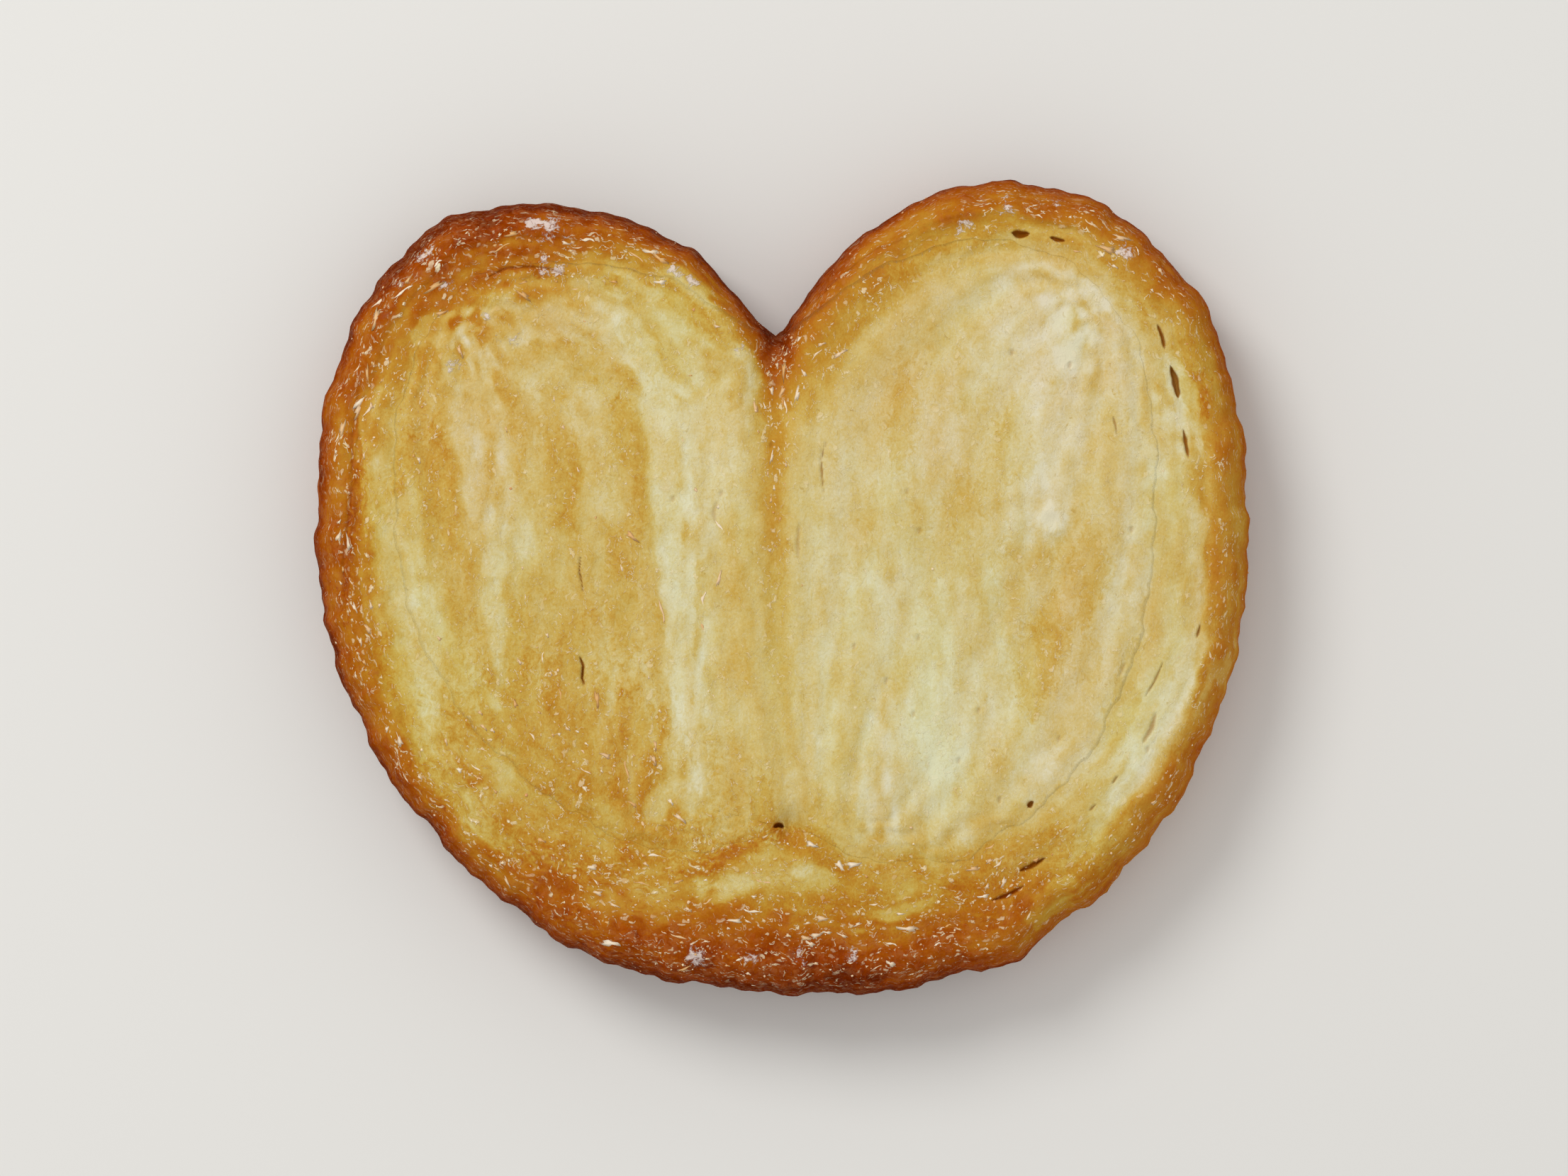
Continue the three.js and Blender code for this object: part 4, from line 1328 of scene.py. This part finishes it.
def shred_of_dough(bend, wave):
    """A thin strip, bent, pointed at both ends, uneven in width."""
    steps = 8
    shape = bmesh.new()
    rings = []
    for i in range(steps + 1):
        along = i / steps - 0.5
        half = 0.5 * (1 - 4 * along * along) ** 0.5 * (1 + 0.45 * math.sin(11 * along + wave)) + 0.03
        side = bend * along * along + 0.14 * math.sin(7 * along + wave)
        ridge = [(-0.3 * half, 0.4 * half + 0.05), (0.5 * half, 0.45 * half + 0.05)]
        across = [(-half, 0.0), *ridge, (half, 0.0), (0.0, -0.5)]
        rings.append([shape.verts.new((along, side * 0.3 + y * 0.16, z * 0.1)) for y, z in across])
    for one, two in zip(rings, rings[1:]):
        for j in range(5):
            shape.faces.new([one[j], two[j], two[(j + 1) % 5], one[(j + 1) % 5]])
    shape.faces.new(rings[0])
    shape.faces.new(rings[-1])
    return piece_from(shape, "shred")


def flake_of_dough(wave):
    """A torn flake with a ragged outline, a little domed, its middle sunk in the crust below."""
    shape = bmesh.new()
    top, bottom = shape.verts.new((0.05, 0.0, 0.11)), shape.verts.new((0.0, 0.0, -0.12))
    ring, corners = [], 11
    for i in range(corners):
        turn = 2 * math.pi * i / corners
        away = 0.5 + 0.16 * math.sin(3 * turn + wave) + 0.12 * math.sin(5 * turn + 2 * wave)
        x, y, z = away * math.cos(turn), 0.42 * away * math.sin(turn), 0.04 * math.sin(2 * turn + wave)
        ring.append(shape.verts.new((x, y, z)))
    for one, two in zip(ring, ring[1:] + ring[:1]):
        shape.faces.new([one, two, top])
        shape.faces.new([two, one, bottom])
    return piece_from(shape, "flake")


# %% A tree that scatters pieces over the skin
def scatter(name, pieces, finish, sizes, low, high, seed, along, where):
    """Pieces strewn by an attribute. Most are near the low size, and few near the high one."""
    net = ShapeNet(name, sizes)
    spread = {
        "Mesh": net.given("Geometry"),
        "Seed": seed,
        "Distance Min": net.given("Spacing"),
        "Density Max": net.given("Per m2"),
        "Density Factor": net.attribute(where),
    }
    points = net.node("GeometryNodeDistributePointsOnFaces", {"distribute_method": "POISSON"}, spread)
    source = points.socket.node.outputs
    normal, turned = Wire(net, source["Normal"]), Wire(net, source["Rotation"])
    tilt = math.pi
    if along:
        tilt = 0.0
        layers = {"Rotation": turned, "Vector": net.attribute("grain", "FLOAT_VECTOR")}
        turned = net.node("FunctionNodeAlignRotationToVector", {"axis": "X", "pivot_axis": "Z"}, layers)
    twist = 0.5 if along else math.pi
    random = {0: (-tilt, -tilt, -twist), 1: (tilt, tilt, twist), "Seed": seed + 1}
    spun = net.node("FunctionNodeRandomValue", {"data_type": "FLOAT_VECTOR"}, random)
    turned = net.node("FunctionNodeRotateRotation", {"rotation_space": "LOCAL"}, {0: turned, 1: spun})
    drawn = net.chance(seed + 2)
    mixed = {0: drawn * drawn * drawn, 4: low, 5: high}
    size = net.node("ShaderNodeMix", {"data_type": "VECTOR"}, mixed, output=1)
    random = {0: (0.7, 0.7, 0.7), 1: (1.35, 1.35, 1.35), "Seed": seed + 5}
    uneven = net.node("FunctionNodeRandomValue", {"data_type": "FLOAT_VECTOR"}, random)
    size = net.vector("MULTIPLY", size, uneven)
    joined = net.tree.nodes.new("GeometryNodeJoinGeometry")
    for piece in pieces:
        one = {"Object": piece, "As Instance": True}
        kind = net.node("GeometryNodeObjectInfo", {}, one, output="Geometry")
        net.tree.links.new(kind.socket, joined.inputs[0])
    random = {4: 0, 5: len(pieces) - 1, "Seed": seed + 3}
    choice = net.node("FunctionNodeRandomValue", {"data_type": "INT"}, random, output=2)
    lifted = net.scaled(normal, net.given("Lift"))
    laid = {
        "Points": net.node("GeometryNodeSetPosition", {}, {"Geometry": points, "Offset": lifted}),
        "Instance": Wire(net, joined.outputs[0]),
        "Pick Instance": True,
        "Instance Index": choice,
        "Rotation": turned,
        "Scale": size,
    }
    placed = net.node("GeometryNodeInstanceOnPoints", {}, laid)
    kept = {"Geometry": placed, "Name": "tint", "Value": net.chance(seed + 4)}
    tinted = net.node("GeometryNodeStoreNamedAttribute", {"data_type": "FLOAT", "domain": "INSTANCE"}, kept)
    real = net.node("GeometryNodeRealizeInstances", {}, {"Geometry": tinted})
    net.result(net.node("GeometryNodeSetMaterial", {}, {"Geometry": real, "Material": finish}))
    made = net.run(puffed, name)
    for piece in pieces:
        bpy.data.objects.remove(piece)
    print(name, len(made.data.polygons), "faces")
    return made


# %% Scatter the sugar
def tinted_finish(name, dark, pale, **fixed):
    """A finish whose pieces are each tinted somewhere between two colours."""
    finish = Finish(name, **fixed)
    finish.surface(Base_Color=finish.mix(finish.attribute("tint"), dark, pale))
    return finish.material


clear_sugar = tinted_finish("sugar", srgb(206, 132, 52), srgb(242, 226, 190), IOR=1.5, Roughness=0.25)
sizes = {"Per m2": 0.8 / MM**2, "Spacing": 0.3 * MM, "Lift": -0.02 * MM}
low, high = (0.08 * MM,) * 3, (0.24 * MM, 0.22 * MM, 0.2 * MM)
sugar_grains = scatter("sugar_grains", [grain_of_sugar()], clear_sugar, sizes, low, high, 5, False, "sugar")

# %% Scatter the shreds
dry_dough = tinted_finish("shred", srgb(218, 166, 98), srgb(241, 225, 198), IOR=1.45, Roughness=0.55)
kinds = [shred_of_dough(bend, wave) for bend, wave in ((1.1, 0.0), (-0.9, 2.0))]
kinds += [flake_of_dough(wave) for wave in (0.4, 2.1, 4.4)]
sizes = {"Per m2": 0.6 / MM**2, "Spacing": 0.4 * MM, "Lift": 0.0}
low, high = (0.25 * MM, 0.4 * MM, 0.35 * MM), (1.5 * MM, 1.0 * MM, 0.7 * MM)
shreds = scatter("shreds", kinds, dry_dough, sizes, low, high, 21, True, "flaky")

# %% [markdown]
# ## Tell the frame what stands for what
# The skin replaces the plain solid. The sugar and the shreds ride on the same body.

# %% Ride and replace
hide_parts("palmier")
for piece in (puffed, sugar_grains, shreds):
    piece.data.shade_smooth()
    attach(piece, "root")

# %% [markdown]
# ## Camera, floor and light
# The camera looks straight down through a long lens, so that the heart isn't distorted. The floor is plain
# and pale, and the light is a broad soft one from above with a little direction, which shows relief without
# hard shadows.

# %% Camera
LENS, SENSOR = 200.0, 36.0
VIEW_WIDTH = 127.6 * MM
FACE_MIDDLE = (0.17 * MM, 0.0, 6 * MM)
camera_data = bpy.data.cameras.new("camera")
camera_data.lens, camera_data.sensor_width = LENS, SENSOR
camera_data.clip_start, camera_data.clip_end = 0.01, 10.0
camera = bpy.data.objects.new("camera", camera_data)
camera.location = (FACE_MIDDLE[0], FACE_MIDDLE[1], VIEW_WIDTH * LENS / SENSOR + FACE_MIDDLE[2])
bpy.context.scene.collection.objects.link(camera)
bpy.context.scene.camera = camera

# %% Floor and light
floor_mesh = bpy.data.meshes.new("floor")
FLOOR_HALF = 2000 * MM
corners = [(x * FLOOR_HALF, y * FLOOR_HALF, 0) for x, y in ((-1, -1), (1, -1), (1, 1), (-1, 1))]
floor_mesh.from_pydata(corners, [], [(0, 1, 2, 3)])
floor = object_from("floor", floor_mesh)
floor.location.z = -0.2 * MM
floor_mesh.materials.append(Finish("floor", Base_Color=srgb(226, 224, 219), Roughness=0.9).material)
world = bpy.data.worlds.new("studio")
bpy.context.scene.world = world
world.use_nodes = True
world.node_tree.nodes["Background"].inputs["Color"].default_value = (1, 1, 1, 1)
world.node_tree.nodes["Background"].inputs["Strength"].default_value = 0.7


def soft_light(name, where, size, watts):
    data = bpy.data.lights.new(name, "AREA")
    data.shape, data.size, data.energy = "DISK", size, watts
    light = bpy.data.objects.new(name, data)
    light.location = where
    light.rotation_euler = (-Vector(where)).to_track_quat("-Z", "Y").to_euler()
    bpy.context.scene.collection.objects.link(light)


soft_light("key", (-0.35, 0.4, 0.55), 0.35, 2.6)
bpy.context.scene.view_settings.view_transform = "Standard"
